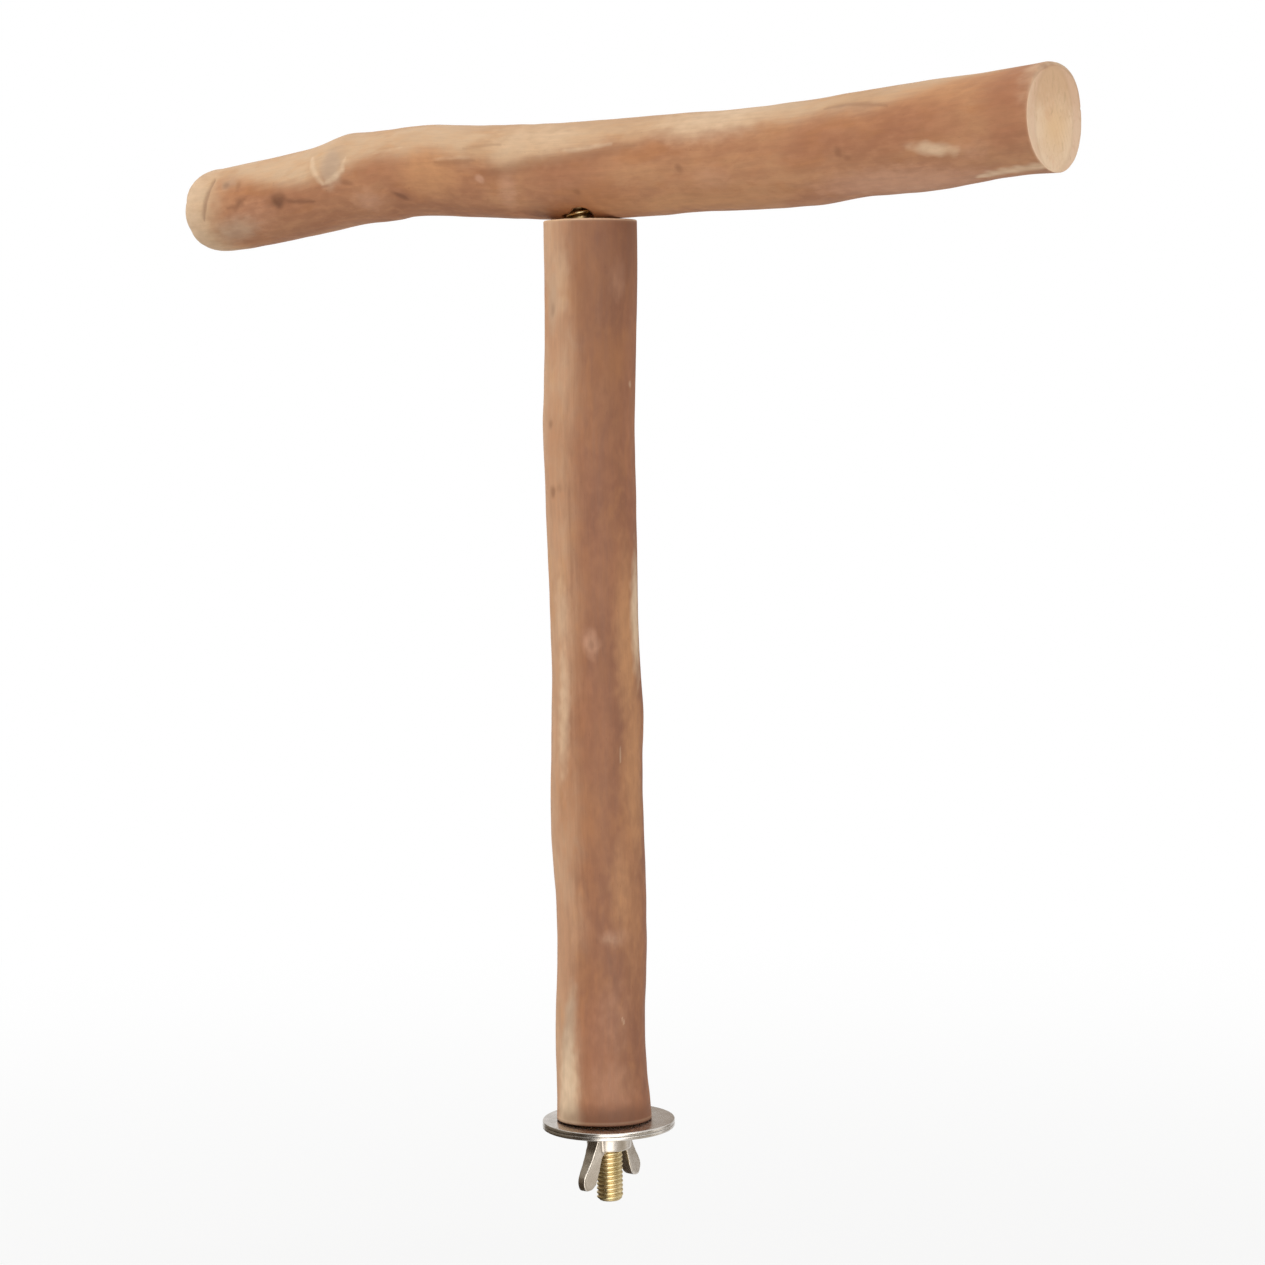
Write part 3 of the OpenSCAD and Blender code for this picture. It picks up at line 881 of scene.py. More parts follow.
# %% Drill the crossbar
HOLE_PLAY = 0.05 * MM
POINT_ROOM = 0.6 * MM
MOUTH_RIM = 1.0 * MM
MOUTH_DEEP = 1.9 * MM
CHIP_WIDE = 3.6 * MM
CHIP_TALL = 3.2 * MM
CHIP_PLACE = (JOIN_AXIS[0] + 3.2 * MM, JOIN_AXIS[1] - 3.3 * MM)
CHIP_Z = POST_TOP + 0.3 * MM


def torn(radius, height, angle):
    """The drill's torn mouth: bites up to half a millimetre, only at the wide foot."""
    wide = np.clip((radius - 3.4 * MM) / (0.8 * MM), 0, 1)
    bites = 0.26 * np.cos(3 * angle + 0.7) + 0.16 * np.cos(7 * angle + 2.0) + 0.09 * np.cos(13 * angle)
    return wide * bites * MM


def chipped(radius, height, angle):
    """Facets on the chip that broke out of the bark side in front of the screw."""
    return radius * (0.10 * np.cos(2 * angle + 1.3) + 0.07 * np.cos(5 * angle + height / MM))


bar_hole = JOIN_R + HOLE_PLAY
carve(crossbar_skin, turned("bar_cutter", [
    (bar_hole + MOUTH_RIM, POST_TOP - OVERRUN),
    (bar_hole + MOUTH_RIM, POST_TOP + 0.6 * MOUTH_DEEP),
    (bar_hole + 0.55 * MOUTH_RIM, POST_TOP + 0.9 * MOUTH_DEEP),
    (bar_hole, POST_TOP + 1.15 * MOUTH_DEEP),
    (bar_hole, join_high.z + POINT_ROOM),
], JOIN_AXIS, wobble=torn))
carve(crossbar_skin, turned("chip", [
    (CHIP_WIDE * math.sin(t), CHIP_Z - CHIP_TALL * math.cos(t))
    for t in np.radians(np.linspace(8, 172, 11))
], CHIP_PLACE, wobble=chipped))
print("crossbar", len(crossbar_skin.data.vertices), "points after drilling")

# %% Drill the post and raise its collar
POST_PLAY = 0.02 * MM


def ragged_top(ring):
    """Makes the upper edge of a ring rise and fall round the joining screw."""
    for point in ring.data.vertices:
        turn = math.atan2(point.co.y - JOIN_AXIS[1], point.co.x - JOIN_AXIS[0])
        ragged = 0.60 + 0.30 * math.cos(turn - 1.9) + 0.10 * math.cos(11 * turn + 2)
        if point.co.z > POST_TOP:
            point.co.z = POST_TOP + (point.co.z - POST_TOP) * ragged


carve(post_skin, turned("post_top_cutter", [
    (JOIN_R + POST_PLAY, join_low.z - POINT_ROOM),
    (JOIN_R + POST_PLAY, POST_TOP + OVERRUN),
], JOIN_AXIS))
carve(post_skin, turned("post_foot_cutter", [
    (STUD_R + POST_PLAY, POST_FOOT - OVERRUN),
    (STUD_R + POST_PLAY, bolt_high.z + POINT_ROOM),
]))
collar = turned("collar", [
    (JOIN_R + 0.06 * MM, POST_TOP - 0.5 * MM),
    (JOIN_R + 0.95 * MM, POST_TOP - 0.5 * MM),
    (JOIN_R + 0.75 * MM, POST_TOP + 0.5 * MM),
    (JOIN_R + 0.45 * MM, POST_TOP + 1.5 * MM),
    (JOIN_R + 0.10 * MM, POST_TOP + 1.4 * MM),
], JOIN_AXIS, closed=True)
ragged_top(collar)
carve(post_skin, collar, "UNION")
print("post", len(post_skin.data.vertices), "points after drilling")

# %% [markdown]
# ## Grain coordinates and masks for the wood
# Wood looks right when its pattern runs with the fibres, round every bend, and carries
# on into the end grain. So each point gets its place inside an imaginary straight
# branch: distance along, and two distances across. Textures made in that space follow
# the real branch's curves. The masks are stored beside it, read from where the point
# lies, so the walls of the drilled holes get theirs as well.

# %% Store grain and masks on a branch
def store(mesh, name, values):
    """Keeps one number, or three, for each point of a mesh."""
    kind = "FLOAT_VECTOR" if values.ndim == 2 else "FLOAT"
    field = "vector" if values.ndim == 2 else "value"
    layer = mesh.attributes.new(name, kind, "POINT")
    layer.data.foreach_set(field, values.astype(np.float32).ravel())


def end_mask(branch, along, depth):
    """1 on cut faces and in the drilled holes, where the wood shows its end grain."""
    from_cut = (branch.length - along) / MM
    inside = 0.0
    if not branch.worn:
        from_cut = np.minimum(from_cut, along / MM)
        inside = soft_edge(2 - depth / 0.8, 0.4)
    deep = soft_edge(2 - depth / 1.2, 0.3) * soft_edge(1 - (along / MM - 8) / 4, 0.4)
    return np.maximum(soft_edge(from_cut / 0.16, 0.4), np.maximum(inside, deep))


def edge_masks(branch, along, across, depth):
    """The bruised pale rim of a sawn end with a painted highlight line above the post's foot, and
    painted shade in the crevice under the foot.
    """
    edge = np.exp(-(depth / 0.6) ** 2)
    rim = (0.6 if branch.worn else 0.2) * edge * np.exp(-((branch.length - along) / MM / 0.4) ** 2)
    if branch.worn:
        return rim, np.zeros(len(along))
    # Above the foot the pale rim is a painted highlight on the foot's rounded edge, and the crevice mask
    # paints shade under the foot.
    above_foot = (along - foot_lift(along, across)) / MM
    rim = rim + 0.3 * edge * np.exp(-((above_foot - 0.62) / 0.22) ** 2)
    return rim, 0.95 * np.exp(-(above_foot / 0.32) ** 6) * np.exp(-(depth / 1.2) ** 2)


def dress_skin(piece, branch, ovals, lines, paleness):
    """Gives a branch's mesh its grain coordinates and all its masks."""
    mesh = piece.data
    along, angle, out = branch.unroll(mesh_points(mesh))
    skin = Skin(branch, along, angle)
    masks, _ = paint_marks(skin, ovals, lines)
    masks["pale"] = paleness(skin)
    depth = (branch.radius(along, angle) - out) / MM
    ends = end_mask(branch, along, depth)
    for finish, amount in masks.items():
        store(mesh, finish, amount * (1 - ends))
    across = np.stack([out * np.cos(angle), out * np.sin(angle)], -1)
    rim, crevice_shade = edge_masks(branch, along, across, depth)
    store(mesh, "end_grain", ends)
    store(mesh, "rim", rim)
    store(mesh, "crevice_shade", crevice_shade)
    store(mesh, "grain", np.column_stack([along, across]) / MM)
    return {finish: round(float(amount.mean()), 3) for finish, amount in masks.items()}


print("crossbar finishes", dress_skin(crossbar_skin, bar, BAR_OVALS, BAR_LINES, bar_paleness))
print("post finishes", dress_skin(post_skin, post, POST_OVALS, POST_LINES, post_sapwood_and_painted_light))

# %% [markdown]
# ## Peeled, dry branch wood
# The bark is gone and the surface has been sanded lightly, so it is smooth but not
# shiny: reddish-brown inner bark on most of it, pale sapwood where the knife went
# deeper. A photograph wrapped round it would smear at the ends. A procedural wood is
# built in layers instead, each at the size it has on the real thing: clouds of colour
# some centimetres long, streaks along the fibres, fine fibres, pores, then the marks,
# and last the rings of the end grain.

# %% Noises of the wood
WOOD_NOISES = {
    "big": ((26, 11, 11), 3.0, 0.55, 0.4),
    "patchy": ((7.5, 3.6, 3.6), 4.0, 0.6, 0.6),
    "mottle": ((3.2, 1.7, 1.7), 2.5, 0.5, 0.1),
    "streaks": ((14, 0.9, 0.9), 4.0, 0.6, 0.0),
    "fibres": ((3.8, 0.16, 0.16), 3.0, 0.65, 0.0),
    "speckle": ((1.0, 0.34, 0.34), 2.0, 0.5, 0.0),
}


def wood_noises(tree, grain, shift):
    """Every noise of the wood by name. shift moves them all along and across."""
    noises = {}
    for name, (sizes, detail, roughness, distortion) in WOOD_NOISES.items():
        place = stretch(tree, grain, sizes, shift)
        noises[name] = cloud(tree, place, detail, roughness, distortion)
    return noises


def mask(tree, name):
    """A stored mask as a value."""
    return add(tree, "Attribute", attribute_name=name).outputs["Fac"]


def unevenly(tree, value, noise, amount):
    """A value that a noise moves up or down, by half the amount at most."""
    return work(tree, "ADD", value, times(tree, work(tree, "SUBTRACT", noise, 0.5), amount))


print(len(WOOD_NOISES), "noises, from", WOOD_NOISES["fibres"][0][1], "to",
      WOOD_NOISES["big"][0][0], "mm")

# %% Bark, sapwood and the marks on them
WARM_BARK = paint(172, 116, 74)
WARM_SAPWOOD = paint(190, 142, 98)
# The dark finish's colour serves both the knots and the marks of painted shade.
KNOTS_AND_PAINTED_SHADE = paint(106, 68, 47)
FINISH_TINTS = (
    ("ochre", paint(166, 110, 70), 0.80),
    ("gold", paint(190, 138, 94), 0.80),
    ("red", paint(158, 104, 74), 0.75),
    ("pink", paint(190, 143, 114), 0.85),
    ("grey", paint(180, 152, 126), 0.95),
    ("cream", paint(214, 186, 154), 0.95),
)


def bark_and_sapwood(tree, grain, noises, tones):
    """Inner bark where the knife left it, sapwood elsewhere, with a ragged border. On the post the pale
    part also holds painted light.
    """
    brown, reddish, golden, tan, cream = tones
    big, patchy, mottle = noises["big"], noises["patchy"], noises["mottle"]
    warm = cloud(tree, stretch(tree, grain, (12, 5, 5), (5.0, 21.0, 8.0)), 3.0, 0.55, 0.5)
    bark = ramp(tree, big, (0.36, reddish), (0.50, brown), (0.64, golden))
    bark = blend(tree, level(tree, patchy, 0.40, 0.72, 0.0, 0.55), bark, reddish)
    bark = blend(tree, level(tree, mottle, 0.42, 0.75, 0.0, 0.35), bark, golden)
    bark = blend(tree, level(tree, warm, 0.50, 0.75, 0.0, 0.55), bark, WARM_BARK)
    sapwood = blend(tree, level(tree, big, 0.34, 0.66), tan, cream)
    sapwood = blend(tree, level(tree, mottle, 0.40, 0.75, 0.0, 0.45), sapwood, tan)
    sapwood = blend(tree, level(tree, warm, 0.48, 0.75, 0.0, 0.45), sapwood, WARM_SAPWOOD)
    border = unevenly(tree, mask(tree, "pale"), patchy, 0.40)
    border = unevenly(tree, border, noises["streaks"], 0.25)
    return blend(tree, level(tree, border, 0.02, 0.98), bark, sapwood)


def with_marks(tree, noises, colour):
    """Lays each finish over a colour where its mask is, a little unevenly."""
    for finish, tint, limit in FINISH_TINTS:
        worn = unevenly(tree, mask(tree, finish), noises["mottle"], 0.30)
        amount = times(tree, level(tree, worn, 0.0, 1.0), limit)
        present = level(tree, mask(tree, finish), 0.0, 0.25)
        colour = blend(tree, times(tree, amount, present), colour, tint)
    return colour


def with_fibres(tree, noises, colour):
    """Shades a colour with streaks, fibres and pores, and last darkens the knots and the marks of
    painted shade.
    """
    mottle = noises["mottle"]
    shade = times(tree, level(tree, noises["streaks"], 0.25, 0.75, 0.955, 1.04),
                  level(tree, noises["fibres"], 0.25, 0.75, 0.965, 1.03))
    shade = times(tree, shade, level(tree, mottle, 0.3, 0.7, 0.96, 1.035))
    shade = times(tree, shade, level(tree, noises["speckle"], 0.66, 0.78, 1.0, 0.88))
    grey = add(tree, "CombineColor", {0: shade, 1: shade, 2: shade}).outputs[0]
    colour = blend(tree, 1.0, colour, grey, "MULTIPLY")
    dark = times(tree, mask(tree, "dark"), level(tree, mottle, 0.3, 0.6, 0.80, 1.0))
    return blend(tree, dark, colour, KNOTS_AND_PAINTED_SHADE)


print(len(FINISH_TINTS), "finishes are laid over the wood, and the dark one last")

# %% [markdown]
# The end grain is a small picture of its own: growth rings round a pith that is off
# centre, a golden heart, stains where the sap dried, a browner upper part, open pores,
# and a pinkish band at the rim with a faint dark line inside it. The band and the line
# are painted shade where the end face turns into its worn bevel. The crossbar's sawn end
# is the one seen close, so the band follows the outline of that end.

# %% The end grain
RING_WIDE = 1.9
PITH_OFF = (0.0, 0.6, 1.8)
RIM_OFF = (0.0, 1.0, 0.7)
RIM_SHAPE = (0.0, 1.175, 0.87)


def growth_rings(tree, flat, bend, soft, end):
    """Broken rings and a heart, in the light, dark and heart tones of an end."""
    light, dark, heart = end
    out = length(tree, flat)
    bent = work(tree, "ADD", out, times(tree, bend, 6.0))
    ring = work(tree, "FRACT", work(tree, "DIVIDE", bent, RING_WIDE))
    broken = cloud(tree, stretch(tree, flat, (4.0, 4.0, 4.0)), 2.0, 0.5)
    late = times(tree, level(tree, ring, 0.55, 0.92), level(tree, broken, 0.44, 0.68, 0.04, 0.45))
    colour = blend(tree, level(tree, soft, 0.35, 0.7, 0.0, 0.4), light, dark)
    colour = blend(tree, late, colour, dark)
    return blend(tree, level(tree, out, 0.5, 9.0, 0.90, 0.0), colour, heart)


def with_rim(tree, face, bend, colour):
    """Adds the pinkish band at the rim of an end, and the faint dark line inside it: painted shade where
    the face turns into its worn bevel.
    """
    across = add(tree, "VectorMath", {0: face, 1: RIM_OFF}, operation="ADD").outputs[0]
    across = add(tree, "VectorMath", {0: across, 1: RIM_SHAPE}, operation="MULTIPLY").outputs[0]
    reach = work(tree, "ADD", length(tree, across), times(tree, bend, 1.2))
    colour = blend(tree, level(tree, reach, 9.2, 10.9, 0.0, 0.50), colour, paint(214, 177, 149))
    line = times(tree, level(tree, reach, 8.9, 9.7), level(tree, reach, 9.8, 10.8, 0.15, 0.0))
    return blend(tree, line, colour, paint(172, 132, 98))


def end_grain(tree, grain, end):
    """The colour of a cut end: rings, stains, a browner upper part, the painted shade of the bevel band,
    and pores.
    """
    own = add(tree, "SeparateXYZ", {0: grain})
    face = add(tree, "CombineXYZ", {1: own.outputs[1], 2: own.outputs[2]}).outputs[0]
    flat = add(tree, "VectorMath", {0: face, 1: PITH_OFF}, operation="ADD").outputs[0]
    bend = cloud(tree, stretch(tree, flat, (9, 9, 9)), 3.0, 0.5)
    soft = cloud(tree, stretch(tree, flat, (3.2, 3.2, 3.2)), 4.0, 0.6)
    colour = growth_rings(tree, flat, bend, soft, end)
    stain = cloud(tree, stretch(tree, flat, (5, 5, 5), (3.0, 7.0, 2.0)), 3.0, 0.6, 0.8)
    colour = blend(tree, level(tree, stain, 0.52, 0.74, 0.0, 0.5), colour, paint(214, 166, 128))
    upper = work(tree, "ADD", own.outputs[2], times(tree, soft, 7.0))
    colour = blend(tree, level(tree, upper, 1.7, 9.7, 0.0, 0.85), colour, paint(204, 164, 126))
    colour = with_rim(tree, face, bend, colour)
    swirl = cloud(tree, stretch(tree, flat, (2.6, 1.3, 3.4), (1.0, 4.0, 9.0)), 3.0, 0.6, 1.4)
    colour = blend(tree, level(tree, swirl, 0.56, 0.70, 0.0, 0.42), colour, paint(186, 150, 112))
    pores = cloud(tree, stretch(tree, flat, (0.30, 0.30, 0.30)), 2.0, 0.5)
    return blend(tree, level(tree, pores, 0.62, 0.78, 0.0, 0.16), colour, paint(184, 144, 108))


print("growth rings", RING_WIDE, "mm wide, round a pith", round(math.hypot(*PITH_OFF), 1),
      "mm off centre")

# %% [markdown]
# Both branches are the same kind of wood in different tones, and the post is the browner
# one. So one function makes both materials, and only the tones, the shift of the pattern
# and the colours of the cut ends differ. What is too fine for the mesh, fibres, mottling
# and pores, also bends the light a little through a bump map.

# %% Both woods
# The bruised rim colour also paints the highlight above the post's foot, and the crevice colour is
# painted shade under the foot.
BRUISED_RIM_AND_HIGHLIGHT = paint(222, 190, 158)
CREVICE_SHADE = paint(98, 60, 42)


def wood_bump(tree, noises):
    """The mottling stands up most, streaks and fibres less, and the pores are pits."""
    height = work(tree, "ADD", times(tree, noises["fibres"], 0.35), times(tree, noises["streaks"], 0.35))
    height = work(tree, "ADD", height, times(tree, noises["mottle"], 0.6))
    pits = times(tree, level(tree, noises["speckle"], 0.66, 0.78), 0.4)
    height = work(tree, "SUBTRACT", height, pits)
    return add(tree, "Bump", {"Height": height, "Strength": 0.5, "Distance": 0.10 * MM}).outputs[0]


def branch_wood(name, shift, tones, end):
    """Peeled branch wood. shift moves the pattern so that no two branches match."""
    material, tree, shader = new_material(name)
    grain = add(tree, "Attribute", attribute_name="grain").outputs["Vector"]
    noises = wood_noises(tree, grain, shift)
    colour = with_marks(tree, noises, bark_and_sapwood(tree, grain, noises, tones))
    colour = with_fibres(tree, noises, colour)
    for place, over in (
        ("end_grain", end_grain(tree, grain, end)),
        ("rim", BRUISED_RIM_AND_HIGHLIGHT),
        ("crevice_shade", CREVICE_SHADE),
    ):
        colour = blend(tree, mask(tree, place), colour, over)
    tree.links.new(colour, shader.inputs["Base Color"])
    rough = level(tree, noises["streaks"], 0.3, 0.7, 0.58, 0.72)
    tree.links.new(rough, shader.inputs["Roughness"])
    shader.inputs["Specular IOR Level"].default_value = 0.32
    tree.links.new(wood_bump(tree, noises), shader.inputs["Normal"])
    return material


BAR_TONES = (paint(168, 117, 83), paint(160, 108, 76), paint(179, 130, 92), paint(188, 150, 114),
             paint(199, 167, 134))
POST_TONES = (paint(148, 98, 68), paint(140, 91, 65), paint(159, 107, 72), paint(184, 139, 106),
              paint(194, 156, 124))
BAR_END = (paint(228, 199, 167), paint(216, 180, 145), paint(222, 184, 140))
POST_END = (paint(206, 168, 130), paint(184, 142, 104), paint(200, 158, 104))
crossbar_wood = branch_wood("peeled_crossbar_wood", (0.0, 0.0, 0.0), BAR_TONES, BAR_END)
post_wood = branch_wood("peeled_post_wood", (37.0, 11.0, 5.0), POST_TONES, POST_END)
crossbar_skin.data.materials.clear()
crossbar_skin.data.materials.append(crossbar_wood)
post_skin.data.materials.clear()
post_skin.data.materials.append(post_wood)
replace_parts(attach(crossbar_skin, "crossbar"), "crossbar")
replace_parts(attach(post_skin, "perch"), "post")
print("two wood materials,", len(crossbar_wood.node_tree.nodes), "nodes each")

# %% [markdown]
# ## Screw threads
# The two long pieces of hardware are rods with threads: an M6 machine thread with a
# pitch of 1 mm below the post, and coarse wood threads of 2.5 mm inside the branches.
# A bump map could fake them, but the machine thread shows against the light, and its
# outline would stay straight. A screw modifier could sweep one tooth. Here the skin is
# one long helix of rows: each row keeps its place on the tooth while it climbs, so
# crests and roots come out crisp, and the pitch may change along the rod.

# %% A rod with a helical skin
THREAD_SIDES = 48
THREAD_PITCH = 1.0 * MM
THREAD_DEEP = 0.34 * MM
WOOD_PITCH = 2.5 * MM
WOOD_DEEP = 0.80 * MM
TOOTH_ROWS = np.array([0.0, 0.07, 0.14, 0.20, 0.27, 0.35, 0.43, 0.50, 0.58, 0.66, 0.75, 0.84, 0.92])


def tooth(phase, crest, root):
    """How deep a thread is at a share of its pitch: 0 on its crest, 1 in its root."""
    flank = (1 - crest - root) / 2
    deep = np.clip(np.minimum((phase - crest) / flank, (1 - phase) / flank), 0, 1)
    return 0.2 * deep + 0.8 * deep * deep * (3 - 2 * deep)


def threaded_rod(name, rise, turns, radius, low, high, centre=(0.0, 0.0)):
    """A rod whose skin climbs one helix. rise gives the height after so many turns, and
    radius the skin's radius at a height and a place on the tooth."""
    per_turn = len(TOOTH_ROWS)
    rows = np.add.outer(np.arange(turns), TOOTH_ROWS).ravel()
    share = np.arange(THREAD_SIDES) / THREAD_SIDES
    climb = rise(rows[:, None] + share)
    height = np.clip(climb, low, high)
    out = radius(height, (rows % 1)[:, None] + 0 * share)
    beyond = np.maximum(np.maximum(low - climb, climb - high), 0)
    closing = np.clip(1 - beyond / (0.8 * THREAD_PITCH), 0, 1)
    turn = 2 * math.pi * share
    points = np.stack([
        centre[0] + out * closing * np.cos(turn),
        centre[1] + out * closing * np.sin(turn),
        height,
    ], -1).reshape(-1, 3)
    faces = []
    for row in range(len(rows) - per_turn - 1):
        here = row * THREAD_SIDES + np.arange(THREAD_SIDES)
        beside = here + 1
        beside[-1] = (row + per_turn) * THREAD_SIDES
        up = np.full(THREAD_SIDES, THREAD_SIDES)
        faces += np.stack([here, beside, beside + up, here + up], 1).tolist()
    made = mesh_object(name, points, faces)
    weld(made, 0.002 * MM)
    return made


def weld(piece, distance):
    """Merges points that lie on top of each other and drops what collapses."""
    shape = bmesh.new()
    shape.from_mesh(piece.data)
    bmesh.ops.remove_doubles(shape, verts=shape.verts, dist=distance)
    bmesh.ops.dissolve_degenerate(shape, edges=shape.edges, dist=distance)
    bmesh.ops.recalc_face_normals(shape, faces=shape.faces)
    open_edges = sum(not edge.is_manifold for edge in shape.edges)
    shape.to_mesh(piece.data)
    shape.free()
    piece.data.shade_smooth()
    print(piece.name, len(piece.data.vertices), "points,", open_edges, "open edges")


def between(value, low, high):
    """0 below low, 1 above high and a straight climb between."""
    return np.clip((value - low) / (high - low), 0, 1)


print("a tooth", THREAD_DEEP / MM, "mm deep is drawn with", len(TOOTH_ROWS), "rows")

# %% [markdown]
# The hanger bolt has the machine thread on its free end, a short plain neck where it
# enters the post, and a wood thread that ends in a point. The joining screw has a wood
# thread and a point at both ends. It shows only in the gap under the crossbar.

# %% The hanger bolt and the joining screw
STUD_TIP = 0.7 * MM
NECK_R = 2.675 * MM
POINT_LONG = 1.6 * STUD_R
POINT_BLUNT = 0.15
NECK_LOW = POST_FOOT + 0.9 * MM
NECK_HIGH = POST_FOOT + 3.6 * MM


def machine_thread(phase, grow=0.0):
    """The skin's radius on the stud's machine thread, with room to grow for the nut."""
    return STUD_R + grow - THREAD_DEEP * tooth(phase, 0.20, 0.10)


def wood_thread(phase, crest):
    """The skin's radius on a wood thread, whose crests are thin and far apart."""
    return crest - WOOD_DEEP * tooth(phase, 0.16, 0.36)


def to_point(height, tip):
    """How much a screw's point is narrowed at a height, 1 away from the point."""
    return np.clip(np.abs(tip - height) / POINT_LONG, POINT_BLUNT, 1)


def bolt_radius(height, phase):
    """The hanger bolt: chamfered machine thread, neck, then wood thread to its point."""
    machine = 1 - between(height, NECK_LOW, NECK_LOW + 0.6 * MM)
    wood = between(height, NECK_HIGH, NECK_HIGH + 1.4 * MM)
    screwed = wood_thread(phase, STUD_R) * to_point(height, bolt_high.z)
    out = machine * machine_thread(phase) + wood * screwed + (1 - machine - wood) * NECK_R
    chamfer = STUD_R - STUD_TIP + (height - bolt_low.z)
    return np.minimum(out, chamfer)


def bolt_rise(turn):
    """Turns 0 to 2 lie below the bolt's end. Above the neck the pitch grows."""
    change = (POST_FOOT + 2 * MM - bolt_low.z) / THREAD_PITCH + 2
    slow = np.minimum(turn, change) - 2
    return bolt_low.z + slow * THREAD_PITCH + np.maximum(turn - change, 0) * WOOD_PITCH


def screw_radius(height, phase):
    """The joining screw: wood thread all the way, with a point at each end."""
    points = to_point(height, join_high.z) * to_point(height, join_low.z)
    return wood_thread(phase, JOIN_R) * points


def screw_rise(turn):
    """The joining screw climbs evenly, from a little below its lower point."""
    return join_low.z + (turn - 1.16) * WOOD_PITCH


hanger_bolt = threaded_rod("hanger_bolt_threaded", bolt_rise, 38, bolt_radius,
                           bolt_low.z, bolt_high.z)
joining_screw = threaded_rod("joining_screw_threaded", screw_rise, 18, screw_radius,
                             join_low.z, join_high.z, JOIN_AXIS)

# %% [markdown]
# ## Washers
# Two plain steel washers are punched from sheet. The punch rolls the edges on one side
# and leaves them sharper on the other, and no sheet is quite flat. A cylinder with a
# hole would look like a coin made by a computer, so the washer's section is drawn with
# its rounded corners and turned, and the face then gets the faintest wave.

# %% Punched washers
WASHER_SIDES = 180
WASHER_PLAY = 0.20 * MM
WASHER_WAVE = 0.012 * MM
ROLLED = 0.34 * MM
BURRED = 0.20 * MM
BARELY = 0.05 * MM


def rounded(corners, radii, steps=5, loop=True):
    """The same outline with each corner replaced by a small curve."""
    corners = [np.array(corner, float) for corner in corners]
    outline = []
    last = len(corners) - 1
    for k, corner in enumerate(corners):
        if not loop and k in (0, last):
            outline.append(tuple(corner))
            continue
        before = corners[k - 1] - corner
        after = corners[(k + 1) % len(corners)] - corner
        start = corner + before / np.hypot(*before) * radii[k]
        end = corner + after / np.hypot(*after) * radii[k]
        for t in np.linspace(0, 1, steps):
            curve = (1 - t) ** 2 * start + 2 * t * (1 - t) * corner + t * t * end
            outline.append(tuple(curve))
    return outline


def punched_washer(name, node, rolled_up):
    """A washer in the place of a frame node, with its rolled side up or down."""
    low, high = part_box(node)
    out_r = (high.x - low.x) / 2
    hole_r = STUD_R + WASHER_PLAY
    top, foot = (ROLLED, BURRED) if rolled_up else (BURRED, ROLLED)
    face = [(hole_r + (out_r - hole_r) * share, high.z) for share in (0.25, 0.5, 0.75)]
    back = [(hole_r + (out_r - hole_r) * share, low.z) for share in (0.75, 0.5, 0.25)]
    corners = [(hole_r, low.z), (hole_r, high.z), *face, (out_r, high.z), (out_r, low.z), *back]
    radii = [foot, top, BARELY, BARELY, BARELY, top, foot, BARELY, BARELY, BARELY]
    made = turned(name, rounded(corners, radii)[::-1], sides=WASHER_SIDES, closed=True)
    middle = (low.z + high.z) / 2
    for point in made.data.vertices:
        turn = math.atan2(point.co.y, point.co.x)
        share = math.hypot(point.co.x, point.co.y) / out_r
        wave = WASHER_WAVE * share * (1 + math.cos(2 * turn + 1.1 + 2 * rolled_up))
        point.co.z += wave if point.co.z < middle else -wave
    weld(made, 0.0005 * MM)
    return made


upper_washer = punched_washer("upper_washer_punched", "upper_washer", True)
lower_washer = punched_washer("lower_washer_punched", "lower_washer", False)

# %% [markdown]
# ## The wing nut
# A wing nut is cast or pressed in one: a short conical hub with two ears for the
# fingers. Here the ears point down, away from the cage. Its edges are all soft, which
# a bevel on a joined mesh does badly where ear and hub meet. So hub and ears are only
# pushed into each other, a voxel remesh turns them into one skin, and some smoothing
# rounds what a mould would round. The thread is cut last and stays sharp.

# %% The outline of an ear
nut_low, nut_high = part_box("wing_nut")
EAR_HALF = (nut_high.y - nut_low.y) / 2
EAR_HIGH = nut_high.z - nut_low.z
EAR_STEPS = 6
EAR_OUTLINE = [
    (0.28, 0.03), (0.50, 0.10), (0.60, 0.24), (0.74, 0.46), (0.88, 0.63), (0.97, 0.74),
    (1.00, 0.83), (0.975, 0.93), (0.90, 0.995), (0.78, 0.995), (0.65, 0.93), (0.54, 0.74),
    (0.45, 0.52), (0.38, 0.43), (0.28, 0.40),
]


def closed_curve(points, steps):
    """A smooth closed curve through the points."""
    points = np.array(points, float)
    before, after = np.roll(points, 1, 0), np.roll(points, -1, 0)
    beyond = np.roll(points, -2, 0)
    pieces = []
    for t in np.arange(steps) / steps:
        pieces.append(0.5 * (2 * points + (after - before) * t
                             + (2 * before - 5 * points + 4 * after - beyond) * t * t
                             + (3 * points - before - 3 * after + beyond) * t ** 3))
    return np.stack(pieces, 1).reshape(-1, 2)


ear_curve = closed_curve(EAR_OUTLINE, EAR_STEPS)
print("an ear's outline has", len(ear_curve), "points and reaches", round(EAR_HALF / MM, 1), "mm out")

# %% Hub and ears in one skin
HUB_HIGH = 5.0 * MM
HUB_R = 5.3 * MM
HUB_DRAFT = 0.06
HUB_CORE = 0.2 * HUB_R
EAR_ROOT_THICK = 3.6 * MM
EAR_TIP_THICK = 1.9 * MM
VOXEL = 0.15 * MM


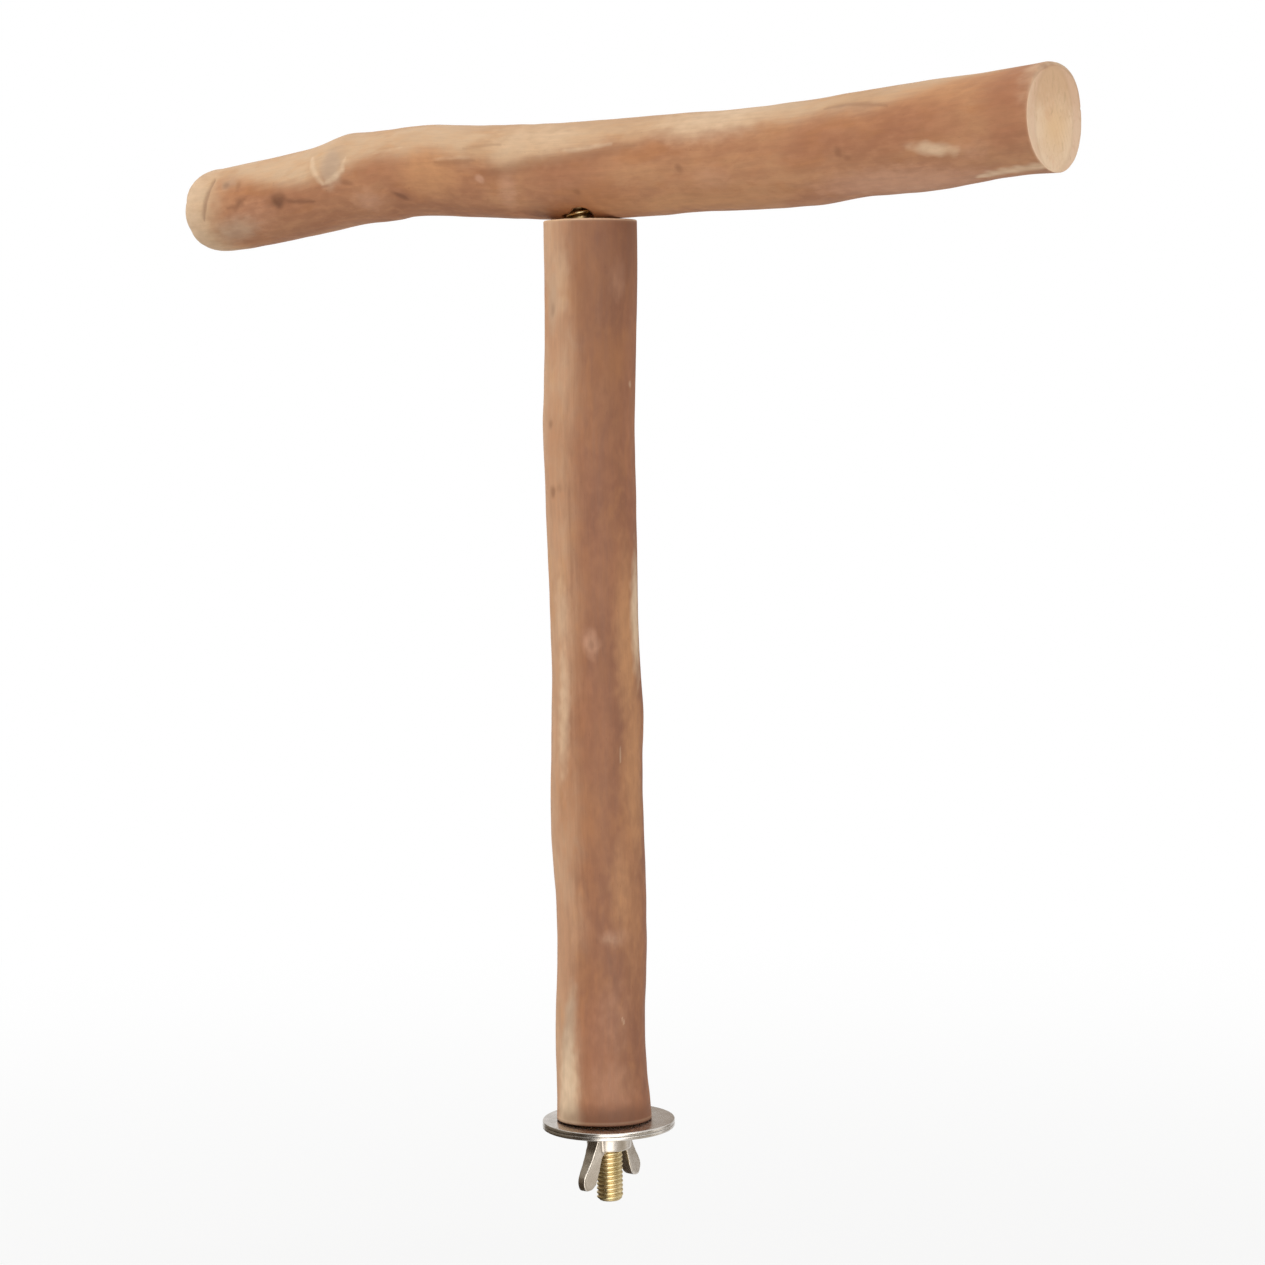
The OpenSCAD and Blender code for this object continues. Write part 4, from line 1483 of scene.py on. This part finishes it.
def ear(side):
    """One ear, standing out along +Y or -Y and down from the seat."""
    across = ear_curve[:, 0] * EAR_HALF
    down = nut_high.z - ear_curve[:, 1] * EAR_HIGH
    taper = (across - STUD_R) / (EAR_HALF - STUD_R)
    thick = (EAR_ROOT_THICK + (EAR_TIP_THICK - EAR_ROOT_THICK) * taper) / 2
    right = np.stack([thick, side * across, down], 1)
    left = np.stack([-thick, side * across, down], 1)
    count = len(ear_curve)
    near = list(range(count))
    faces = [near[::-1], [count + k for k in near]]
    faces += [[k, (k + 1) % count, count + (k + 1) % count, count + k] for k in near]
    made = mesh_object("ear", np.concatenate([right, left]), faces)
    weld(made, 0.001 * MM)
    return made


def joined(name, pieces):
    """One object that holds the meshes of several."""
    shape = bmesh.new()
    for piece in pieces:
        shape.from_mesh(piece.data)
        bpy.data.objects.remove(piece)
    mesh = bpy.data.meshes.new(name)
    shape.to_mesh(mesh)
    shape.free()
    made = bpy.data.objects.new(name, mesh)
    bpy.context.scene.collection.objects.link(made)
    return made


low_r = HUB_R * (1 - HUB_DRAFT)
hub = turned("hub", rounded([
    (HUB_CORE, nut_high.z),
    (HUB_R, nut_high.z),
    (low_r, nut_high.z - HUB_HIGH),
    (HUB_CORE, nut_high.z - HUB_HIGH),
], [0, 0.3 * MM, 0.4 * MM, 0], loop=False)[::-1])
wing_nut = joined("wing_nut_cast", [hub, ear(1), ear(-1)])
remesh = wing_nut.modifiers.new("one_skin", "REMESH")
remesh.mode = "VOXEL"
remesh.voxel_size = VOXEL
soften = wing_nut.modifiers.new("soft_edges", "SMOOTH")
soften.factor = 0.5
soften.iterations = 16
settled(wing_nut)
print("wing nut", len(wing_nut.data.vertices), "points before its thread")

# %% [markdown]
# A tap cuts the real nut's thread, and here a tap does it too: the stud's own helix, a
# little wider, is taken out of the casting by a boolean cut. Two shallow cones then
# countersink both mouths, so that the first turn has no knife edge.

# %% Cut the nut's thread
NUT_PLAY = 0.06 * MM
SINK_R = 3.35 * MM
SINK_DEEP = 0.75 * MM


def nut_radius(height, phase):
    """The tap is the stud's own thread, a little wider."""
    return machine_thread(phase, NUT_PLAY)


nut_turns = int((EAR_HIGH - bolt_low.z) / THREAD_PITCH) + 6
carve(wing_nut, threaded_rod("nut_tap", bolt_rise, nut_turns, nut_radius,
                             nut_high.z - HUB_HIGH - OVERRUN, nut_high.z + OVERRUN))
for seat, way in ((nut_high.z, 1), (nut_high.z - HUB_HIGH, -1)):
    inner, outer = sorted([seat - way * SINK_DEEP, seat + way * OVERRUN])
    wide, thin = SINK_R + OVERRUN, SINK_R - SINK_DEEP
    profile = [(thin, inner), (wide, outer)] if way > 0 else [(wide, inner), (thin, outer)]
    carve(wing_nut, turned("countersink", profile))
wing_nut.data.shade_smooth()
nut_points = mesh_points(wing_nut.data)
over = np.clip(nut_points[:, 2] - nut_high.z, 0, None)
print("wing nut", len(nut_points), "points, above its seat by", over.max() / MM, "mm")

# %% [markdown]
# ## Plated metal
# The hardware is plated steel. The washers and the wing nut are nickel: pale grey with
# a touch of warmth, satin from tumbling in the plating barrel. The screws are yellow
# zinc: gold that drifts towards olive and pink, and darker in the thread's roots, which
# is painted shade in those hollows. Mirror-clean metal would look rendered, so roughness
# drifts, and a faint unevenness bends the reflections.

# %% Metal materials
def plated(name, tints, rough, dent, root=None):
    """Plated steel with drifting colour and polish. root is the colour of painted shade in the thread's
    roots.
    """
    material, tree, shader = new_material(name)
    place = add(tree, "TexCoord").outputs["Object"]
    place = add(tree, "VectorMath", {0: place, 3: 1 / MM}, operation="SCALE").outputs[0]
    wide = cloud(tree, stretch(tree, place, (4.8, 4.8, 4.8)), 2.0, 0.5, 0.6)
    small = cloud(tree, stretch(tree, place, (1.2, 1.2, 1.2)), 4.0, 0.6)
    fine = cloud(tree, stretch(tree, place, (0.16, 0.16, 0.16)), 3.0, 0.6)
    colour = ramp(tree, wide, (0.34, tints[0]), (0.52, tints[1]), (0.68, tints[2]))
    colour = blend(tree, level(tree, small, 0.35, 0.7, 0.0, 0.35), colour, tints[0])
    polish = level(tree, small, 0.3, 0.7, *rough)
    if root is not None:
        # Deep in the thread the colour turns to painted shade.
        deep = mask(tree, "root")
        colour = blend(tree, times(tree, deep, 0.40), colour, root)
        polish = work(tree, "ADD", polish, times(tree, deep, 0.15))
    tree.links.new(colour, shader.inputs["Base Color"])
    tree.links.new(polish, shader.inputs["Roughness"])
    shader.inputs["Metallic"].default_value = 1.0
    height = work(tree, "ADD", times(tree, fine, 0.12), small)
    bump = add(tree, "Bump", {"Height": height, "Strength": 0.4, "Distance": dent})
    tree.links.new(bump.outputs[0], shader.inputs["Normal"])
    return material


WASHER_TINTS = (paint(192, 186, 179), paint(205, 199, 192), paint(214, 209, 203))
NUT_TINTS = (paint(192, 183, 172), paint(204, 196, 186), paint(214, 207, 198))
ZINC_TINTS = (paint(212, 194, 146), paint(226, 208, 164), paint(226, 202, 162))
washer_nickel = plated("satin_nickel_washers", WASHER_TINTS, (0.20, 0.32), 0.02 * MM)
nut_nickel = plated("satin_nickel_wing_nut", NUT_TINTS, (0.22, 0.34), 0.04 * MM)
# The last colour of the zinc is the painted shade of its thread roots.
yellow_zinc = plated("yellow_zinc_screws", ZINC_TINTS, (0.20, 0.32), 0.02 * MM, paint(124, 98, 56))
print("three platings, the zinc one with", len(yellow_zinc.node_tree.nodes), "nodes")


# %% Painted shade in the thread roots, and every plating on its piece
def mark_root_shade(piece, centre, crest, deep):
    """Stores how deep in its thread each point of a rod lies, which sets the painted shade of its roots.
    """
    points = mesh_points(piece.data)
    out = np.hypot(points[:, 0] - centre[0], points[:, 1] - centre[1])
    store(piece.data, "root", np.clip((crest - out) / deep, 0, 1) ** 1.5)


mark_root_shade(hanger_bolt, (0.0, 0.0), STUD_R, THREAD_DEEP)
mark_root_shade(joining_screw, JOIN_AXIS, JOIN_R, WOOD_DEEP)
for piece, material, body, node, slot in (
    (hanger_bolt, yellow_zinc, "perch", "hanger_bolt", "yellow_zinc"),
    (joining_screw, yellow_zinc, "perch", "joining_screw", "yellow_zinc"),
    (upper_washer, washer_nickel, "upper_washer", "upper_washer", "washer_nickel"),
    (lower_washer, washer_nickel, "lower_washer", "lower_washer", "washer_nickel"),
    (wing_nut, nut_nickel, "wing_nut", "wing_nut", "nut_nickel"),
):
    piece.data.materials.clear()
    piece.data.materials.append(material)
    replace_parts(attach(piece, body), node)
print("five pieces of hardware in three finishes")

# %% [markdown]
# ## Floor, backdrop and light
# A perch like this is photographed floating before white. White can be had by pouring
# light over everything, but then pale wood burns out. Instead the floor and the world
# are white only to the camera and in reflections, and the lamps stay at the strength at
# which a colour looks as it was picked. The floor keeps the soft shadow near the object.

# %% Set the sky
SKY_LIGHT = 0.56
scene = bpy.context.scene
scene.view_settings.view_transform = "Standard"


def seen_directly(tree):
    """1 for what the camera sees straight or in a reflection, 0 for light on a surface."""
    rays = add(tree, "LightPath").outputs
    seen = work(tree, "ADD", rays["Is Camera Ray"], rays["Is Glossy Ray"])
    return work(tree, "ADD", seen, rays["Is Transmission Ray"], clamp=True)


world = bpy.data.worlds.new("studio")
scene.world = world
world.use_nodes = True
sky = world.node_tree
sky.nodes.clear()
glow = add(sky, "Background", {"Color": (1, 1, 1, 1), "Strength": SKY_LIGHT})
white = add(sky, "Background", {"Color": (1, 1, 1, 1), "Strength": 1.0})
both = add(sky, "MixShader", {0: seen_directly(sky), 1: glow.outputs[0], 2: white.outputs[0]})
add(sky, "OutputWorld", {"Surface": both.outputs[0]})
print("the sky lights the object at", SKY_LIGHT, "of white")

# %% [markdown]
# The floor is a plain sheet. A curved backdrop would need a bend behind every view. Here
# the sheet fades to pure white away from the object instead, which hides its edge from
# all sides, and the soft shadow stays below the stud. Three square lamps act as
# softboxes: the key from the left, one overhead and a fill from the right. The wider a
# lamp is, the softer its shadow. The key stays out of reflections, where it would put a
# square spot on the metal.

# %% Lay the floor
FLOOR_Z = -0.24
FLOOR_SIZE = 6.0
floor_mesh = bpy.data.meshes.new("floor")
half = FLOOR_SIZE / 2
floor_corners = [(-half, -half, 0), (half, -half, 0), (half, half, 0), (-half, half, 0)]
floor_mesh.from_pydata(floor_corners, [], [(0, 1, 2, 3)])
floor = bpy.data.objects.new("floor", floor_mesh)
floor.location.z = FLOOR_Z
scene.collection.objects.link(floor)
floor_paint, floor_tree, floor_shader = new_material("floor_paint")
floor_shader.inputs["Base Color"].default_value = paint(236, 235, 233)
floor_shader.inputs["Roughness"].default_value = 0.9
from_middle = length(floor_tree, add(floor_tree, "TexCoord").outputs["Object"])
fade = level(floor_tree, from_middle, 0.35, 1.6, 0.72, 1.0)
lit = add(floor_tree, "Emission", {"Color": (1, 1, 1, 1), "Strength": 1.0})
mixed = add(floor_tree, "MixShader", {0: times(floor_tree, fade, seen_directly(floor_tree)),
                                      1: floor_shader.outputs[0], 2: lit.outputs[0]})
floor_out = floor_tree.nodes["Material Output"]
floor_tree.links.new(mixed.outputs[0], floor_out.inputs["Surface"])
floor_mesh.materials.append(floor_paint)
print("floor at", FLOOR_Z, "m")


# %% Place the lamps
def softbox(name, place, target, size, watts, tint=(1.0, 1.0, 1.0)):
    """A square area lamp at a place, turned to a target, all in metres."""
    lamp = bpy.data.lights.new(name, "AREA")
    lamp.shape = "SQUARE"
    lamp.size = size
    lamp.energy = watts
    lamp.color = tint
    made = bpy.data.objects.new(name, lamp)
    made.location = place
    made.rotation_euler = (Vector(target) - Vector(place)).to_track_quat("-Z", "Y").to_euler()
    scene.collection.objects.link(made)
    return made


MIDDLE = (0.0, 0.0, 0.12)
key = softbox("key", (-0.75, -0.85, 0.95), MIDDLE, 0.7, 11.6)
key.visible_glossy = False
softbox("overhead", (0.1, 0.15, 1.35), MIDDLE, 0.9, 2.4)
softbox("fill", (1.15, -0.45, 0.12), MIDDLE, 0.8, 4.6)

# %% [markdown]
# ## Boards and cards for the metal
# Metal has no look of its own: it shows what stands round it. In a room that is white
# all over it turns white and loses its shape. Painting shadows on it would be wrong
# from every other side. Photographers stand dark boards round it instead, out of the
# picture, and a bright card where a highlight should run. These are seen only in
# reflections, and they light and shade nothing.

# %% Stand the boards and cards
BOARD_AWAY = 0.8
BOARD_STEPS = 12


def board(name, middle, width, edges, shade, glow=1.0):
    """A curved board round the object, seen only in reflections. Its middle and width
    are in degrees, from -Y towards +X, and its two long edges are (radius, height)."""
    points = []
    for turn in np.radians(np.linspace(middle - width / 2, middle + width / 2, BOARD_STEPS + 1)):
        for radius, height in edges:
            points.append((radius * math.sin(turn), -radius * math.cos(turn), height))
    faces = [(2 * k, 2 * k + 2, 2 * k + 3, 2 * k + 1) for k in range(BOARD_STEPS)]
    made = mesh_object(name, np.array(points), faces)
    surface, _, shader = new_material(name + "_surface")
    shader.inputs["Base Color"].default_value = (0, 0, 0, 1)
    shader.inputs["Specular IOR Level"].default_value = 0.0
    shader.inputs["Emission Color"].default_value = shade
    shader.inputs["Emission Strength"].default_value = glow
    made.data.materials.append(surface)
    made.visible_camera = False
    made.visible_diffuse = False
    made.visible_shadow = False


def upright(low, high):
    """The long edges of a board that stands round the object."""
    return (BOARD_AWAY, low), (BOARD_AWAY, high)


LYING = (0.10, FLOOR_Z + 0.02), (BOARD_AWAY, FLOOR_Z + 0.02)
board("board_left", -71, 80, upright(FLOOR_Z, 0.35), paint(124, 114, 101))
board("board_left_near", -6, 50, upright(FLOOR_Z, 0.35), paint(60, 50, 40))
board("board_left_high", -60, 104, upright(0.35, 0.95), paint(168, 160, 147))
board("board_left_low", -66, 152, LYING, paint(74, 64, 52))
board("card_front", 38, 34, upright(FLOOR_Z, 0.45), paint(255, 251, 245), 2.4)
board("card_front_low", 38, 40, LYING, paint(255, 251, 245), 2.5)
board("board_right", 92, 52, upright(FLOOR_Z, 0.08), paint(146, 137, 122))
board("card_joint", 66, 30, upright(0.12, 0.36), paint(255, 250, 240), 3.4)
board("board_right_far", 129, 26, upright(FLOOR_Z, 0.05), paint(250, 245, 238), 1.25)
board("board_right_low", 108, 62, LYING, paint(204, 197, 186))
board("board_far_right", 158, 32, upright(FLOOR_Z, 0.05), paint(166, 158, 148))
board("board_back", 194, 46, upright(0.02, 0.75), paint(182, 171, 161))
board("board_back_left", 237, 40, upright(0.02, 0.75), paint(242, 240, 239))
print("thirteen boards and cards,", BOARD_AWAY, "m from the stud")
